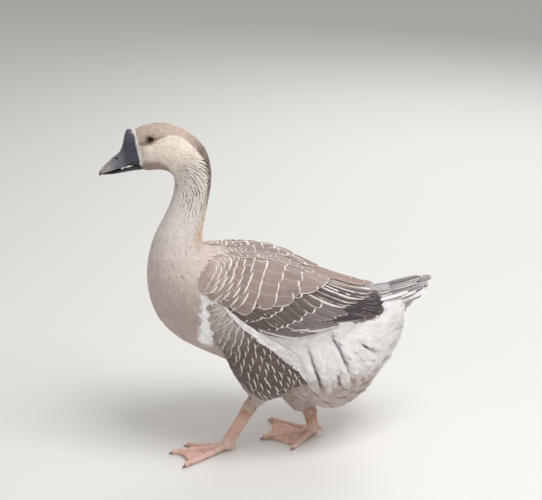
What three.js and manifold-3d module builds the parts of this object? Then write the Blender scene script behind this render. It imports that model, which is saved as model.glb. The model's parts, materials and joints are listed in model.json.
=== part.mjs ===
// A life-size domestic goose, standing in mid-stride with its left foot forward and its head up.
// Millimetres, +Z up. The goose faces -X, its left side faces -Y, and it stands on the floor at Z = 0.
import * as THREE from 'three';
import { LoftGeometry } from 'three/addons/geometries/LoftGeometry.js';
import { mergeVertices } from 'three/addons/utils/BufferGeometryUtils.js';
import Module from 'manifold-3d';

const wasm = await Module();
wasm.setup();

// ---- Driving dimensions: body ----
const seam = 0.35; // the thin cut between neighbouring parts
const bodySides = 24; // facets round the neck and trunk
const ringsPerStation = 2; // how finely the body is lofted between two stations

// The body runs from the bill's base over the crown, down the neck and back to the rump. Each station
// spans it from the spine side to the throat and belly side, both [x, z] in the plane of symmetry.
// halfWidth is to the side, widest says how far from back to belly the broadest place is.
const headStations = [
  { back: [-251, 642], belly: [-239, 569], halfWidth: 17, widest: 0.6 }, // round the bill's base
  { back: [-236, 649], belly: [-224, 566], halfWidth: 24, widest: 0.58 }, // in front of the eyes
  { back: [-211, 654], belly: [-205, 567], halfWidth: 29, widest: 0.55 }, // eyes and cheeks
  { back: [-182, 652], belly: [-189, 563], halfWidth: 31, widest: 0.52 }, // ears
  { back: [-148, 634], belly: [-181, 556], halfWidth: 32, widest: 0.5 }, // back of the skull
];
const neckStations = [
  { back: [-119, 602], belly: [-178, 545], halfWidth: 32, widest: 0.5 }, // nape and throat
  { back: [-109, 562], belly: [-178, 531], halfWidth: 32, widest: 0.5 },
  { back: [-113, 516], belly: [-184, 506], halfWidth: 33, widest: 0.5 }, // slimmest
  { back: [-123, 467], belly: [-200, 470], halfWidth: 38, widest: 0.5 },
  { back: [-128, 434], belly: [-217, 438], halfWidth: 46, widest: 0.5 }, // foot of the neck
];
const trunkStations = [
  { back: [-119, 418], belly: [-230, 396], halfWidth: 60, widest: 0.5 }, // crop
  { back: [-99, 415], belly: [-233, 343], halfWidth: 76, widest: 0.5 }, // front of the breast
  { back: [-72, 412], belly: [-218, 283], halfWidth: 91, widest: 0.5 },
  { back: [-40, 408], belly: [-177, 237], halfWidth: 103, widest: 0.5 }, // keel
  { back: [0, 397], belly: [-112, 200], halfWidth: 110, widest: 0.5 },
  { back: [42, 375], belly: [-38, 160], halfWidth: 112, widest: 0.52 }, // over the legs
  { back: [84, 350], belly: [38, 105], halfWidth: 110, widest: 0.55 },
  { back: [124, 330], belly: [105, 71], halfWidth: 102, widest: 0.55 }, // the low paunch
  { back: [162, 317], belly: [158, 84], halfWidth: 86, widest: 0.52 },
  { back: [197, 312], belly: [204, 132], halfWidth: 66, widest: 0.48 }, // vent
  { back: [228, 315], belly: [241, 186], halfWidth: 48, widest: 0.42 },
  { back: [255, 321], belly: [264, 244], halfWidth: 33, widest: 0.4 },
  { back: [276, 322], belly: [284, 288], halfWidth: 20, widest: 0.4 }, // under the tail
];
const bodyStations = [...headStations, ...neckStations, ...trunkStations];
const throatCut = headStations.length + 0.5; // stations at which the body is parted
const midNeckCut = headStations.length + 2.2;
const neckFootCut = headStations.length + 4.1;

// ---- Driving dimensions: bill and eyes ----
// Upper and lower mandible, each from the base to the tip, with stations as on the body.
const upperBillStations = [
  { back: [-251, 644], belly: [-239.5, 579.5], halfWidth: 16.5, widest: 0.85 }, // the knob's root
  { back: [-260, 644], belly: [-248, 582.5], halfWidth: 16.5, widest: 0.85 },
  { back: [-267, 620], belly: [-256, 580.5], halfWidth: 15.5, widest: 0.85 },
  { back: [-273, 604], belly: [-266, 576.5], halfWidth: 15, widest: 0.85 }, // nostrils
  { back: [-284, 595], belly: [-280, 572.5], halfWidth: 14, widest: 0.8 },
  { back: [-297, 583], belly: [-294, 569], halfWidth: 12.5, widest: 0.8 },
  { back: [-307, 573], belly: [-304, 565.5], halfWidth: 9.5, widest: 0.7 }, // nail
  { back: [-312, 565], belly: [-311, 560], halfWidth: 4.5, widest: 0.6 },
];
const lowerBillStations = [
  { back: [-239.5, 578.5], belly: [-238.5, 569], halfWidth: 14.5, widest: 0.15 },
  { back: [-256, 579.5], belly: [-256, 567], halfWidth: 14, widest: 0.15 },
  { back: [-279, 571.5], belly: [-278, 564], halfWidth: 12, widest: 0.15 },
  { back: [-299, 566.5], belly: [-298, 561.5], halfWidth: 8.5, widest: 0.2 },
  { back: [-305, 563.5], belly: [-304.5, 561], halfWidth: 4.5, widest: 0.3 },
];
const billSides = 14;

const eyeBall = { at: [-218, 16.8, 629.5], radius: 8.8, facets: 12, rings: 8 };

// ---- Driving dimensions: wings and tail ----
// A folded wing is a raised shell over the trunk. Its edges are in degrees round the trunk from the
// back, listed evenly from the shoulder to the tip, and its thickness likewise.
const wing = {
  stations: [10.7, 19.2],
  upperEdge: [42, 26, 20, 18, 14, 10, 8],
  lowerEdge: [54, 79, 84, 88, 68, 54, 46],
  thickness: [7, 15, 17, 16, 14, 11, 7],
  margin: 4, // thickness along its edges
  sunk: 5, // how far the shell reaches under the skin before it is cut to it
  rings: 15,
  facets: 7,
};

// The tail is a closed fan of quills, cocked up a little.
const tailStations = [
  { x: 206, z: 309, halfWidth: 32, halfThick: 6 },
  { x: 240, z: 316, halfWidth: 43, halfThick: 6 },
  { x: 274, z: 323, halfWidth: 43, halfThick: 5 },
  { x: 298, z: 329, halfWidth: 33, halfThick: 4 },
  { x: 315, z: 333, halfWidth: 19, halfThick: 2.5 },
];
const tailSides = 16;
const tailArch = 5; // how far the sides of the fan droop

// ---- Driving dimensions: legs ----
// Points are [forward x, outward from the midline, height]. The flank is the patch of long feathers
// that hangs from the shoulder over the thigh, and bareTop is where the shank leaves the feathers.
const legs = {
  left: {
    side: 1,
    flank: [[-128, 92, 364], [-92, 97, 300], [-42, 88, 224], [-6, 78, 183]],
    thigh: [[-12, 64, 164], [-28, 46, 126], [-47, 34, 93]],
    thighSizes: [[38, 30], [22, 19], [13, 12]],
    bareTop: [-44, 35, 98],
    toeRoot: [-89, 24, 14],
    toes: { outer: [33, 112], middle: [1, 114], inner: [-16, 86] }, // degrees outward, length
    hindToe: 38, // degrees inward from straight back
  },
  right: {
    side: -1,
    flank: [[-128, 92, 364], [-88, 97, 300], [-30, 88, 222], [6, 78, 180]],
    thigh: [[30, 60, 160], [50, 42, 98], [83, 20, 38]],
    thighSizes: [[44, 32], [38, 30], [15, 14]],
    bareTop: [80, 22, 49],
    toeRoot: [86, 15, 14],
    toes: { outer: [41, 105], middle: [-6, 108], inner: [-50, 86] },
    hindToe: -12,
  },
};

// Half sizes of the limbs, [in the plane of the stride, sideways], from the top down.
const flankSizes = [[7, 7], [32, 18], [56, 27], [68, 32]];
const flankRound = 50; // how far the flank's rounded end reaches past its last point
const shankSizes = [[12.5, 9.5], [11, 7.6], [10.6, 7.2], [12.5, 9.5]];
const shankShares = [0, 0.3, 0.7, 1]; // where along the shank they lie
const ankleCut = 0.86; // share of the shank at which the foot is parted from it

const footBall = 12; // radius where the toes meet
const footSink = 3; // how far its middle lies below the shank's end
const toeSizes = [[7.5, 6.5], [6.2, 5.6], [5.4, 5], [4, 4]];
const toeShares = [0, 0.33, 0.66, 1];
const toeHeights = [10, 5.2, 4.4, 3.4];
const clawLength = 11;
const clawRooted = 0.4; // share of the claw that lies in the toe
const clawSizes = [[2.6, 2.8], [2, 2.2], [0.6, 0.8]];
const clawHeights = [3.8, 3.2, 1.6];
const hindToeReach = [4, 17];
const hindToeHeights = [17, 10];
const hindToeSizes = [[5, 4.5], [4, 3.6]];
const hindClawReach = [15, 25];
const hindClawHeights = [10.6, 4];
const hindClawSizes = [[2.2, 2], [0.7, 0.7]];
const web = { floor: 1, thickness: 2.6, hollow: 0.8, short: 12, behind: 4, facets: 5 };

// ---- Solids ----
// A closed geometry as a manifold-3d solid.
function solid(geometry) {
  const bare = new THREE.BufferGeometry().setAttribute('position', geometry.attributes.position);
  bare.setIndex(geometry.index);
  const merged = mergeVertices(bare, 1e-3);
  const corners = merged.index.array;
  const kept = [];
  for (let i = 0; i < corners.length; i += 3) {
    const [a, b, c] = corners.slice(i, i + 3);
    if (a !== b && b !== c && c !== a) kept.push(a, b, c);
  }
  const vertProperties = merged.attributes.position.array;
  const fromCorners = (list) =>
    new wasm.Manifold(new wasm.Mesh({ numProp: 3, vertProperties, triVerts: new Uint32Array(list) }));
  const made = fromCorners(kept);
  return made.volume() > 0 ? made : fromCorners(kept.reverse());
}

// Rings of points skinned into one solid, each end closed round its middle.
function loft(rings) {
  const closing = (ring) => {
    const middle = ring.reduce((sum, point) => sum.add(point), new THREE.Vector3());
    middle.divideScalar(ring.length);
    return ring.map(() => middle);
  };
  return solid(new LoftGeometry([closing(rings[0]), ...rings, closing(rings.at(-1))]));
}

// A solid as a named mesh.
function meshOf(name, made, material) {
  const { vertProperties, triVerts } = made.getMesh();
  const geometry = new THREE.BufferGeometry()
    .setAttribute('position', new THREE.BufferAttribute(vertProperties, 3))
    .setIndex(new THREE.BufferAttribute(triVerts, 1));
  geometry.computeVertexNormals();
  const mesh = new THREE.Mesh(geometry, material);
  mesh.name = name;
  return mesh;
}

const biggestOf = (made) => made.decompose().sort((a, b) => b.volume() - a.volume())[0];
const fromTheTop = (made) => made.decompose().sort((a, b) => b.boundingBox().max[2] - a.boundingBox().max[2]);

// All that stands on the floor, with room for any piece of the goose.
const roomSize = 2000;
const aboveFloor = solid(new THREE.BoxGeometry(roomSize, roomSize, roomSize).translate(0, 0, roomSize / 2));

// A thin plate to part a solid with, at a point and square to a direction.
function plate(middle, direction, reach) {
  const upright = new THREE.Vector3(0, 0, 1);
  const turn = new THREE.Quaternion().setFromUnitVectors(upright, direction.clone().normalize());
  const sheet = new THREE.BoxGeometry(reach, reach, seam).applyQuaternion(turn);
  return solid(sheet.translate(...middle.toArray()));
}

// ---- Body ----
// Curves through the stations, read by station number.
function railsOf(stations) {
  const curve = (point) => new THREE.CatmullRomCurve3(stations.map(point), false, 'centripetal');
  const back = curve(({ back: [x, z] }) => new THREE.Vector3(x, 0, z));
  const belly = curve(({ belly: [x, z] }) => new THREE.Vector3(x, 0, z));
  const percents = stations.map(({ halfWidth, widest }) => new THREE.Vector3(halfWidth, widest * 100, 0));
  const size = new THREE.CatmullRomCurve3(percents, false, 'catmullrom');
  return (station) => {
    const t = station / (stations.length - 1);
    const { x: halfWidth, y: percent } = size.getPoint(t);
    return { back: back.getPoint(t), belly: belly.getPoint(t), halfWidth, widest: percent / 100 };
  };
}

// A point on the body at a station, turned by angle from the back (0) over the left side to the belly (PI),
// and moved out by grow.
function skinPoint({ back, belly, halfWidth, widest }, angle, grow = 0) {
  const depth = belly.clone().sub(back);
  const down = depth.clone().normalize();
  const cosine = Math.cos(angle);
  const share = cosine > 0 ? widest * (1 - cosine) : widest - (1 - widest) * cosine;
  const sideways = new THREE.Vector3(0, -(halfWidth + grow) * Math.sin(angle), 0);
  return back.clone().addScaledVector(depth, share).addScaledVector(down, -grow * cosine).add(sideways);
}

function bodySolid(stations, sides, grow = 0) {
  const at = railsOf(stations);
  const count = (stations.length - 1) * ringsPerStation;
  const rings = Array.from({ length: count + 1 }, (_, i) => {
    const place = at(i / ringsPerStation);
    return Array.from({ length: sides }, (__, j) => skinPoint(place, (j / sides) * 2 * Math.PI, grow));
  });
  return loft(rings);
}

// A thin plate across the body at a station.
function plateAcross(station) {
  const { back, belly } = railsOf(bodyStations)(station);
  const line = belly.clone().sub(back);
  const square = new THREE.Vector3(-line.z, 0, line.x);
  return plate(back.clone().lerp(belly, 0.5), square, line.length() * 1.6);
}

// ---- Wings ----
// The value at a share of the way along a list, eased between its entries.
function readAlong(values, share) {
  const place = share * (values.length - 1);
  const i = Math.min(Math.floor(place), values.length - 2);
  const straight = place - i;
  const eased = (straight + THREE.MathUtils.smoothstep(straight, 0, 1)) / 2;
  return THREE.MathUtils.lerp(values[i], values[i + 1], eased);
}

function wingSolid(side, grow = 0) {
  const at = railsOf(bodyStations);
  const rings = Array.from({ length: wing.rings + 1 }, (_, i) => {
    const share = i / wing.rings;
    const place = at(THREE.MathUtils.lerp(...wing.stations, share));
    const edges = [readAlong(wing.upperEdge, share), readAlong(wing.lowerEdge, share)];
    const rise = readAlong(wing.thickness, share) - wing.margin;
    const across = Array.from({ length: wing.facets + 1 }, (__, j) => j / wing.facets);
    const angle = (v) => side * THREE.MathUtils.degToRad(THREE.MathUtils.lerp(...edges, v));
    const bulge = (v) => Math.sqrt(1 - (2 * v - 1) ** 4);
    const outer = across.map((v) => skinPoint(place, angle(v), wing.margin + rise * bulge(v) + grow));
    const inner = across.map((v) => skinPoint(place, angle(v), -wing.sunk));
    return [...outer, ...inner.reverse()];
  });
  return loft(rings);
}

// ---- Tail ----
function tailSolid(grow = 0) {
  const points = tailStations.map(({ x, z }) => new THREE.Vector3(x, 0, z));
  const sizes = tailStations.map(({ halfWidth, halfThick }) => new THREE.Vector3(halfWidth, halfThick, 0));
  const [path, size] = [points, sizes].map((list) => new THREE.CatmullRomCurve3(list));
  const count = (tailStations.length - 1) * ringsPerStation;
  const rings = Array.from({ length: count + 1 }, (_, i) => {
    const { x, z } = path.getPoint(i / count);
    const { x: halfWidth, y: halfThick } = size.getPoint(i / count);
    return Array.from({ length: tailSides }, (__, j) => {
      const angle = (j / tailSides) * 2 * Math.PI;
      const across = Math.cos(angle);
      const lift = Math.sign(Math.sin(angle)) * Math.sqrt(Math.abs(Math.sin(angle)));
      const height = z - tailArch * across ** 2 + (halfThick + grow) * lift;
      return new THREE.Vector3(x, (halfWidth + grow) * across, height);
    });
  });
  return loft(rings);
}

// ---- Legs ----
const onSide = ([x, outward, z], side) => new THREE.Vector3(x, -side * outward, z);

// A tapered tube along a bent line of points, with a half size in the plane of the stride and one
// sideways at each, and an end that is flat or rounded.
function limb(points, sizes, { sides = 12, steps = 2, round = 0, grow = 0 } = {}) {
  const path = new THREE.CatmullRomCurve3(points);
  const size = new THREE.CatmullRomCurve3(
    sizes.map(([across, out]) => new THREE.Vector3(across, out, 0)),
    false,
    'catmullrom',
  );
  const count = (points.length - 1) * steps;
  const ringAt = (t) => {
    const middle = path.getPoint(t);
    const forward = path.getTangent(t);
    const acrossAxis = new THREE.Vector3(0, 1, 0).cross(forward).normalize();
    const outAxis = forward.clone().cross(acrossAxis);
    const { x: across, y: out } = size.getPoint(t);
    return Array.from({ length: sides }, (_, j) => {
      const angle = (j / sides) * 2 * Math.PI;
      return middle
        .clone()
        .addScaledVector(acrossAxis, (across + grow) * Math.cos(angle))
        .addScaledVector(outAxis, (out + grow) * Math.sin(angle));
    });
  };
  const rings = Array.from({ length: count + 1 }, (_, i) => ringAt(i / count));
  if (round > 0) {
    const [middle, forward, last] = [path.getPoint(1), path.getTangent(1), rings.at(-1)];
    for (const turn of [30, 60, 84].map(THREE.MathUtils.degToRad)) {
      const shrunk = (point) => middle.clone().lerp(point, Math.cos(turn));
      rings.push(last.map((point) => shrunk(point).addScaledVector(forward, round * Math.sin(turn))));
    }
  }
  return loft(rings);
}

function thighSolid({ side, flank, thigh, thighSizes }) {
  const flankPoints = flank.map((point) => onSide(point, side));
  const thighPoints = thigh.map((point) => onSide(point, side));
  return limb(flankPoints, flankSizes, { sides: 14, round: flankRound }).add(limb(thighPoints, thighSizes));
}

function shankSolid({ side, bareTop, toeRoot }) {
  const [from, to] = [onSide(bareTop, side), onSide(toeRoot, side)];
  return limb(
    shankShares.map((share) => from.clone().lerp(to, share)),
    shankSizes,
  );
}

// A point near a foot: heading is in degrees outward from straight ahead of where the toes meet.
function fromToeRoot({ side, toeRoot: [x, outward] }, heading, reach, height) {
  const turn = THREE.MathUtils.degToRad(heading);
  return onSide([x - reach * Math.cos(turn), outward + reach * Math.sin(turn), height], side);
}

// The web spans the three front toes, hollowed between their tips.
function webSolid(leg) {
  const tips = Object.values(leg.toes).map(([heading, length]) => [heading, length - web.short]);
  const plan = (heading, reach) => fromToeRoot(leg, heading, reach, 0).toArray().slice(0, 2);
  const shape = new THREE.Shape().moveTo(...plan(0, -web.behind));
  shape.lineTo(...plan(...tips[0]));
  for (let i = 1; i < tips.length; i += 1) {
    const between = (tips[i - 1][0] + tips[i][0]) / 2;
    const hollow = Math.min(tips[i - 1][1], tips[i][1]) * web.hollow;
    shape.quadraticCurveTo(...plan(between, hollow), ...plan(...tips[i]));
  }
  shape.closePath();
  const extruded = { depth: web.thickness, bevelEnabled: false, curveSegments: web.facets };
  return solid(new THREE.ExtrudeGeometry(shape, extruded).translate(0, 0, web.floor));
}

function toeSolid(leg, [heading, length]) {
  const fleshy = length - clawLength * (1 - clawRooted);
  const points = toeShares.map((share, i) => fromToeRoot(leg, heading, fleshy * share, toeHeights[i]));
  return limb(points, toeSizes, { sides: 8, steps: 1 });
}

function clawSolid(leg, [heading, length], grow = 0) {
  const reaches = [length - clawLength, length - clawLength * clawRooted, length];
  const points = clawHeights.map((height, i) => fromToeRoot(leg, heading, reaches[i], height));
  return limb(points, clawSizes, { sides: 6, steps: 1, grow });
}

const hindPoints = (leg, reaches, heights) =>
  reaches.map((reach, i) => fromToeRoot(leg, 180 - leg.hindToe, reach, heights[i]));

function hindToeSolid(leg) {
  return limb(hindPoints(leg, hindToeReach, hindToeHeights), hindToeSizes, { sides: 6, steps: 1 });
}

function hindClawSolid(leg, grow = 0) {
  const points = hindPoints(leg, hindClawReach, hindClawHeights);
  return limb(points, hindClawSizes, { sides: 6, steps: 1, grow });
}

function footSolid(leg) {
  const [x, y, z] = onSide(leg.toeRoot, leg.side).toArray();
  const ball = solid(new THREE.SphereGeometry(footBall, 8, 6).translate(x, y, z - footSink));
  return Object.values(leg.toes)
    .reduce((made, toe) => made.add(toeSolid(leg, toe)), ball)
    .add(hindToeSolid(leg))
    .add(webSolid(leg));
}

// ---- Materials ----
const paint = (color, roughness) => new THREE.MeshStandardMaterial({ color, roughness, metalness: 0 });
const bodyFeather = paint(0xb9aea4, 0.85);
const headFeather = paint(0xb7a28f, 0.8);
const wingFeather = paint(0x857a72, 0.8);
const whiteFeather = paint(0xe2e0de, 0.85);
const billHorn = paint(0x2e3038, 0.4);
const eyeGloss = paint(0x1c120c, 0.1);
const legSkin = paint(0xc98f78, 0.55);
const clawHorn = paint(0x4a4038, 0.45);

// ---- The goose ----
const goose = new THREE.Group();
const add = (name, made, material) => goose.add(meshOf(name, made, material));
const wholeBody = bodySolid(bodyStations, bodySides);
const grownBody = bodySolid(bodyStations, bodySides, seam);

// The body is modelled whole and parted with thin cuts, then hollowed where the eyes and tail sit.
function addBody() {
  const cuts = [throatCut, midNeckCut, neckFootCut].map(plateAcross);
  const parted = cuts.reduce((made, cut) => made.subtract(cut), wholeBody);
  const [head, neckUpper, neckLower, trunk] = fromTheTop(parted);
  add('head', [1, -1].reduce((made, side) => made.subtract(eyeSolid(side, seam)), head), headFeather);
  add('neck_upper', neckUpper, bodyFeather);
  add('neck_lower', neckLower, bodyFeather);
  add('trunk', biggestOf(trunk.subtract(tailSolid(seam))), bodyFeather);
}

function eyeSolid(side, grow = 0) {
  const ball = new THREE.SphereGeometry(eyeBall.radius + grow, eyeBall.facets, eyeBall.rings);
  return solid(ball.translate(...onSide(eyeBall.at, side).toArray()));
}

function addBill() {
  const parts = { bill_upper: upperBillStations, bill_lower: lowerBillStations };
  for (const [name, stations] of Object.entries(parts)) {
    add(name, biggestOf(bodySolid(stations, billSides).subtract(grownBody)), billHorn);
  }
}

function addLeg(name, leg) {
  const [bareTop, toeRoot] = [onSide(leg.bareTop, leg.side), onSide(leg.toeRoot, leg.side)];
  const down = toeRoot.clone().sub(bareTop);
  const aboveShank = bareTop.clone().addScaledVector(down.clone().normalize(), -seam);
  const thigh = thighSolid(leg)
    .subtract(grownBody)
    .subtract(wingSolid(leg.side, seam))
    .subtract(plate(aboveShank, down, footBall * 8));
  add(`thigh_${name}`, biggestOf(thigh), wingFeather);

  const toes = Object.entries(leg.toes);
  const lower = toes
    .reduce((made, [, toe]) => made.subtract(clawSolid(leg, toe, seam)), shankSolid(leg).add(footSolid(leg)))
    .subtract(hindClawSolid(leg, seam))
    .intersect(aboveFloor)
    .subtract(plate(bareTop.clone().lerp(toeRoot, ankleCut), down, footBall * 5));
  const [shank, ...rest] = fromTheTop(lower);
  add(`shank_${name}`, shank, legSkin);
  add(`foot_${name}`, rest.sort((a, b) => b.volume() - a.volume())[0], legSkin);
  for (const [which, toe] of toes) {
    add(`claw_${name}_${which}`, clawSolid(leg, toe).intersect(aboveFloor), clawHorn);
  }
  add(`claw_${name}_hind`, hindClawSolid(leg).intersect(aboveFloor), clawHorn);
}

addBody();
addBill();
add('tail', tailSolid(), whiteFeather);
for (const [name, leg] of Object.entries(legs)) {
  add(`eye_${name}`, eyeSolid(leg.side), eyeGloss);
  add(`wing_${name}`, biggestOf(wingSolid(leg.side).subtract(grownBody)), wingFeather);
  addLeg(name, leg);
}

// The origin lies on the floor, under the middle of the goose's bounding box.
const middle = new THREE.Box3().setFromObject(goose).getCenter(new THREE.Vector3());
goose.position.set(-middle.x, -middle.y, 0);

export default goose;
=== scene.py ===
import json
import math

import bpy
import numpy as np
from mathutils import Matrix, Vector
from mathutils.bvhtree import BVHTree
from mathutils.kdtree import KDTree

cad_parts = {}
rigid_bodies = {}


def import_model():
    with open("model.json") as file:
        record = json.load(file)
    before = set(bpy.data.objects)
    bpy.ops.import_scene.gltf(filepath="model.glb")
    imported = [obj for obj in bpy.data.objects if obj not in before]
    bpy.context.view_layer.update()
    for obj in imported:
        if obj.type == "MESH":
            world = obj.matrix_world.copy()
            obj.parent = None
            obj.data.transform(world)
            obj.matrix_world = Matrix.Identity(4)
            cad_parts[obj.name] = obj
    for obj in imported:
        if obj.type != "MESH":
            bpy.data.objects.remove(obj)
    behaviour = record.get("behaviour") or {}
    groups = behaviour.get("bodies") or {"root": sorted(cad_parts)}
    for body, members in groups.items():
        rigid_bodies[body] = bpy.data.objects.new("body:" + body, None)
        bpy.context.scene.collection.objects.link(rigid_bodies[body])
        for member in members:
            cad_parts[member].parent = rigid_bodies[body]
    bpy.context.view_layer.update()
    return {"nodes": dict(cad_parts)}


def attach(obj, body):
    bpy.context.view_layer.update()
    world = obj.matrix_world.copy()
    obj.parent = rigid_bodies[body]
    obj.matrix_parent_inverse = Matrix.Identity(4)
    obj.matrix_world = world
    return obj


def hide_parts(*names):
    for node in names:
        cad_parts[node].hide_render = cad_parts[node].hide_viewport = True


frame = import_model()
print("frame loaded")

# The goose faces -X with its left side towards -Y and stands on the floor at Z = 0. Metres throughout.
mm = 0.001


# small helpers for the operators

def pickOnly(*pieces):
    bpy.ops.object.select_all(action="DESELECT")
    for piece in pieces:
        piece.select_set(True)
    bpy.context.view_layer.objects.active = pieces[0]


def applyModifiers(piece):
    pickOnly(piece)
    for modifier in list(piece.modifiers):
        bpy.ops.object.modifier_apply(modifier=modifier.name)


def editAll(piece):
    pickOnly(piece)
    bpy.ops.object.mode_set(mode="EDIT")
    bpy.ops.mesh.select_all(action="SELECT")


def leaveEdit():
    bpy.ops.object.mode_set(mode="OBJECT")


def settle(piece):
    pickOnly(piece)
    bpy.ops.object.transform_apply(location=True, rotation=True, scale=True)


def copyOfNodes(name, nodes):
    # a merged copy of CAD nodes, free of their parents
    pickOnly(*[frame["nodes"][node] for node in nodes])
    bpy.ops.object.duplicate()
    copies = list(bpy.context.selected_objects)
    pickOnly(*copies)
    bpy.ops.object.parent_clear(type="CLEAR_KEEP_TRANSFORM")
    if len(copies) > 1:
        bpy.ops.object.join()
    piece = bpy.context.view_layer.objects.active
    piece.name = name
    piece.data.name = name
    editAll(piece)
    bpy.ops.mesh.remove_doubles(threshold=0.01 * mm)
    leaveEdit()
    settle(piece)
    return piece


def remesh(piece, voxel, smoothing, swell=0.0):
    pickOnly(piece)
    if swell:
        puff = piece.modifiers.new("puff", "DISPLACE")
        puff.strength = swell
        puff.mid_level = 0.0
    blocks = piece.modifiers.new("voxels", "REMESH")
    blocks.mode = "VOXEL"
    blocks.voxel_size = voxel
    soften = piece.modifiers.new("soften", "SMOOTH")
    soften.factor = 0.5
    soften.iterations = smoothing
    applyModifiers(piece)
    bpy.ops.object.shade_smooth()


def pointsOf(piece):
    values = np.empty(len(piece.data.vertices) * 3)
    piece.data.vertices.foreach_get("co", values)
    return values.reshape(-1, 3)


def normalsOf(piece):
    values = np.empty(len(piece.data.vertices) * 3)
    piece.data.vertex_normals.foreach_get("vector", values)
    return values.reshape(-1, 3)


def movePoints(piece, points):
    piece.data.vertices.foreach_set("co", np.ascontiguousarray(points).ravel())
    piece.data.update()


def unit(vectors):
    return vectors / np.maximum(np.linalg.norm(vectors, axis=-1, keepdims=True), 1e-12)


def ramp(value, low, high):
    t = np.clip((value - low) / (high - low), 0.0, 1.0)
    return t * t * (3 - 2 * t)


def noise(points, size, seed=0):
    # smooth noise from -1 to 1 out of a few slanted waves
    chance = np.random.default_rng(seed)
    total = np.zeros(len(points))
    for _ in range(7):
        way = unit(chance.normal(size=3))
        turns = chance.uniform(0.6, 1.5) * 2 * math.pi / size
        total += np.sin(points @ way * turns + chance.uniform(0, 2 * math.pi))
    return total / 3.2


def finishPiece(piece, nodes=()):
    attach(piece, "root")
    if nodes:
        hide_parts(*nodes)
    return piece


# camera, light and floor

view = {
    "lens": 96.3,
    "aim": (-0.0015, 0.0, 0.399),
    "azimuth": -9,
    "elevation": 21,
    "distance": 2.7,
}


def addCamera():
    turn, rise = math.radians(view["azimuth"]), math.radians(view["elevation"])
    back = Vector((math.sin(turn) * math.cos(rise), -math.cos(turn) * math.cos(rise), math.sin(rise)))
    aim = Vector(view["aim"])
    bpy.ops.object.camera_add(location=aim + back * view["distance"])
    camera = bpy.context.active_object
    camera.data.lens = view["lens"]
    camera.rotation_euler = (-back).to_track_quat("-Z", "Y").to_euler()
    camera.data.clip_end = 50
    bpy.context.scene.camera = camera


studio = {
    "key": {"at": (0.7, -0.9, 2.6), "size": 1.3, "power": 48.5},
    "fill": {"at": (-2.4, -2.2, 1.5), "size": 2.2, "power": 10},
    "rim": {"at": (1.2, 2.2, 1.9), "size": 1.6, "power": 26},
    "sky": 0.42,
    "floor": (0.80, 0.79, 0.77),
}


def addLight(name, at, size, power):
    bpy.ops.object.light_add(type="AREA", location=at)
    lamp = bpy.context.active_object
    lamp.name = name
    lamp.data.size = size
    lamp.data.energy = power
    lamp.rotation_euler = (Vector((0, 0, 0.3)) - Vector(at)).to_track_quat("-Z", "Y").to_euler()


def addStudio():
    for name in ("key", "fill", "rim"):
        addLight(name, **studio[name])
    world = bpy.data.worlds.new("studio")
    bpy.context.scene.world = world
    world.use_nodes = True
    world.node_tree.nodes["Background"].inputs["Color"].default_value = (1.0, 0.985, 0.96, 1)
    world.node_tree.nodes["Background"].inputs["Strength"].default_value = studio["sky"]
    bpy.context.scene.view_settings.view_transform = "Standard"
    bpy.ops.mesh.primitive_plane_add(size=14)
    floor = bpy.context.active_object
    floor.name = "floor"
    paint = bpy.data.materials.new("floorPaint")
    paint.use_nodes = True
    paint.node_tree.nodes["Principled BSDF"].inputs["Base Color"].default_value = (*studio["floor"], 1)
    paint.node_tree.nodes["Principled BSDF"].inputs["Roughness"].default_value = 0.9
    floor.data.materials.append(paint)


addCamera()
addStudio()
print("camera and studio placed")

# the lie of the coat: from the bill's root down the neck and along the trunk to the tail, as x and z
spineStops = [
    (-0.246, 0.608), (-0.205, 0.612), (-0.172, 0.603), (-0.150, 0.575), (-0.145, 0.535), (-0.150, 0.500),
    (-0.163, 0.466), (-0.172, 0.432), (-0.165, 0.395), (-0.142, 0.360), (-0.100, 0.332), (-0.040, 0.308),
    (0.030, 0.272), (0.100, 0.240), (0.170, 0.232), (0.230, 0.268), (0.290, 0.312),
]


def evenPath(stops, count):
    stops = np.array(stops)
    reach = np.concatenate([[0], np.cumsum(np.linalg.norm(np.diff(stops, axis=0), axis=1))])
    steps = np.linspace(0, reach[-1], count)
    path = np.stack([np.interp(steps, reach, stops[:, k]) for k in (0, 1)], axis=1)
    for _ in range(3):
        path[1:-1] = (path[:-2] + 2 * path[1:-1] + path[2:]) / 4
    return path, steps


spinePath, spineSteps = evenPath(spineStops, 64)
spineWays = unit(np.gradient(spinePath, axis=0))


def alongSpine(points):
    # distance from the bill, the turn from the back (0) to the belly (pi), the way to the tail
    along, turn, ways = [], [], []
    for start in range(0, len(points), 20000):
        part = points[start:start + 20000]
        flat = part[:, [0, 2]]
        far = ((flat[:, None] - spinePath[None]) ** 2).sum(2) + part[:, 1:2] ** 2
        nearest = far.min(1, keepdims=True)
        soft = np.exp(-(far - nearest) / (2 * (0.30 * np.sqrt(nearest) + 0.006) ** 2))
        soft /= soft.sum(1, keepdims=True)
        way = unit(soft @ spineWays)
        off = flat - soft @ spinePath
        back = np.stack([-way[:, 1], way[:, 0]], axis=1)
        along.append(soft @ spineSteps)
        turn.append(np.arctan2(np.abs(part[:, 1]), (off * back).sum(1)))
        ways.append(np.stack([way[:, 0], 0 * way[:, 0], way[:, 1]], axis=1))
    return np.concatenate(along), np.concatenate(turn), np.concatenate(ways)


# the folded wing's borders as angles round the trunk, in degrees from the top, at each x
wingEdge = {
    "x": (-0.140, -0.107, -0.070, -0.045, -0.003, 0.030, 0.072, 0.107, 0.145, 0.165, 0.186, 0.199, 0.206),
    "top": (62, 36, 24, 21, 21, 24, 26, 23, 17, 14, 11, 9, 8),
    "foot": (82, 86, 97, 106, 105, 98, 87, 77, 65, 58, 49, 41, 30),
}

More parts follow.
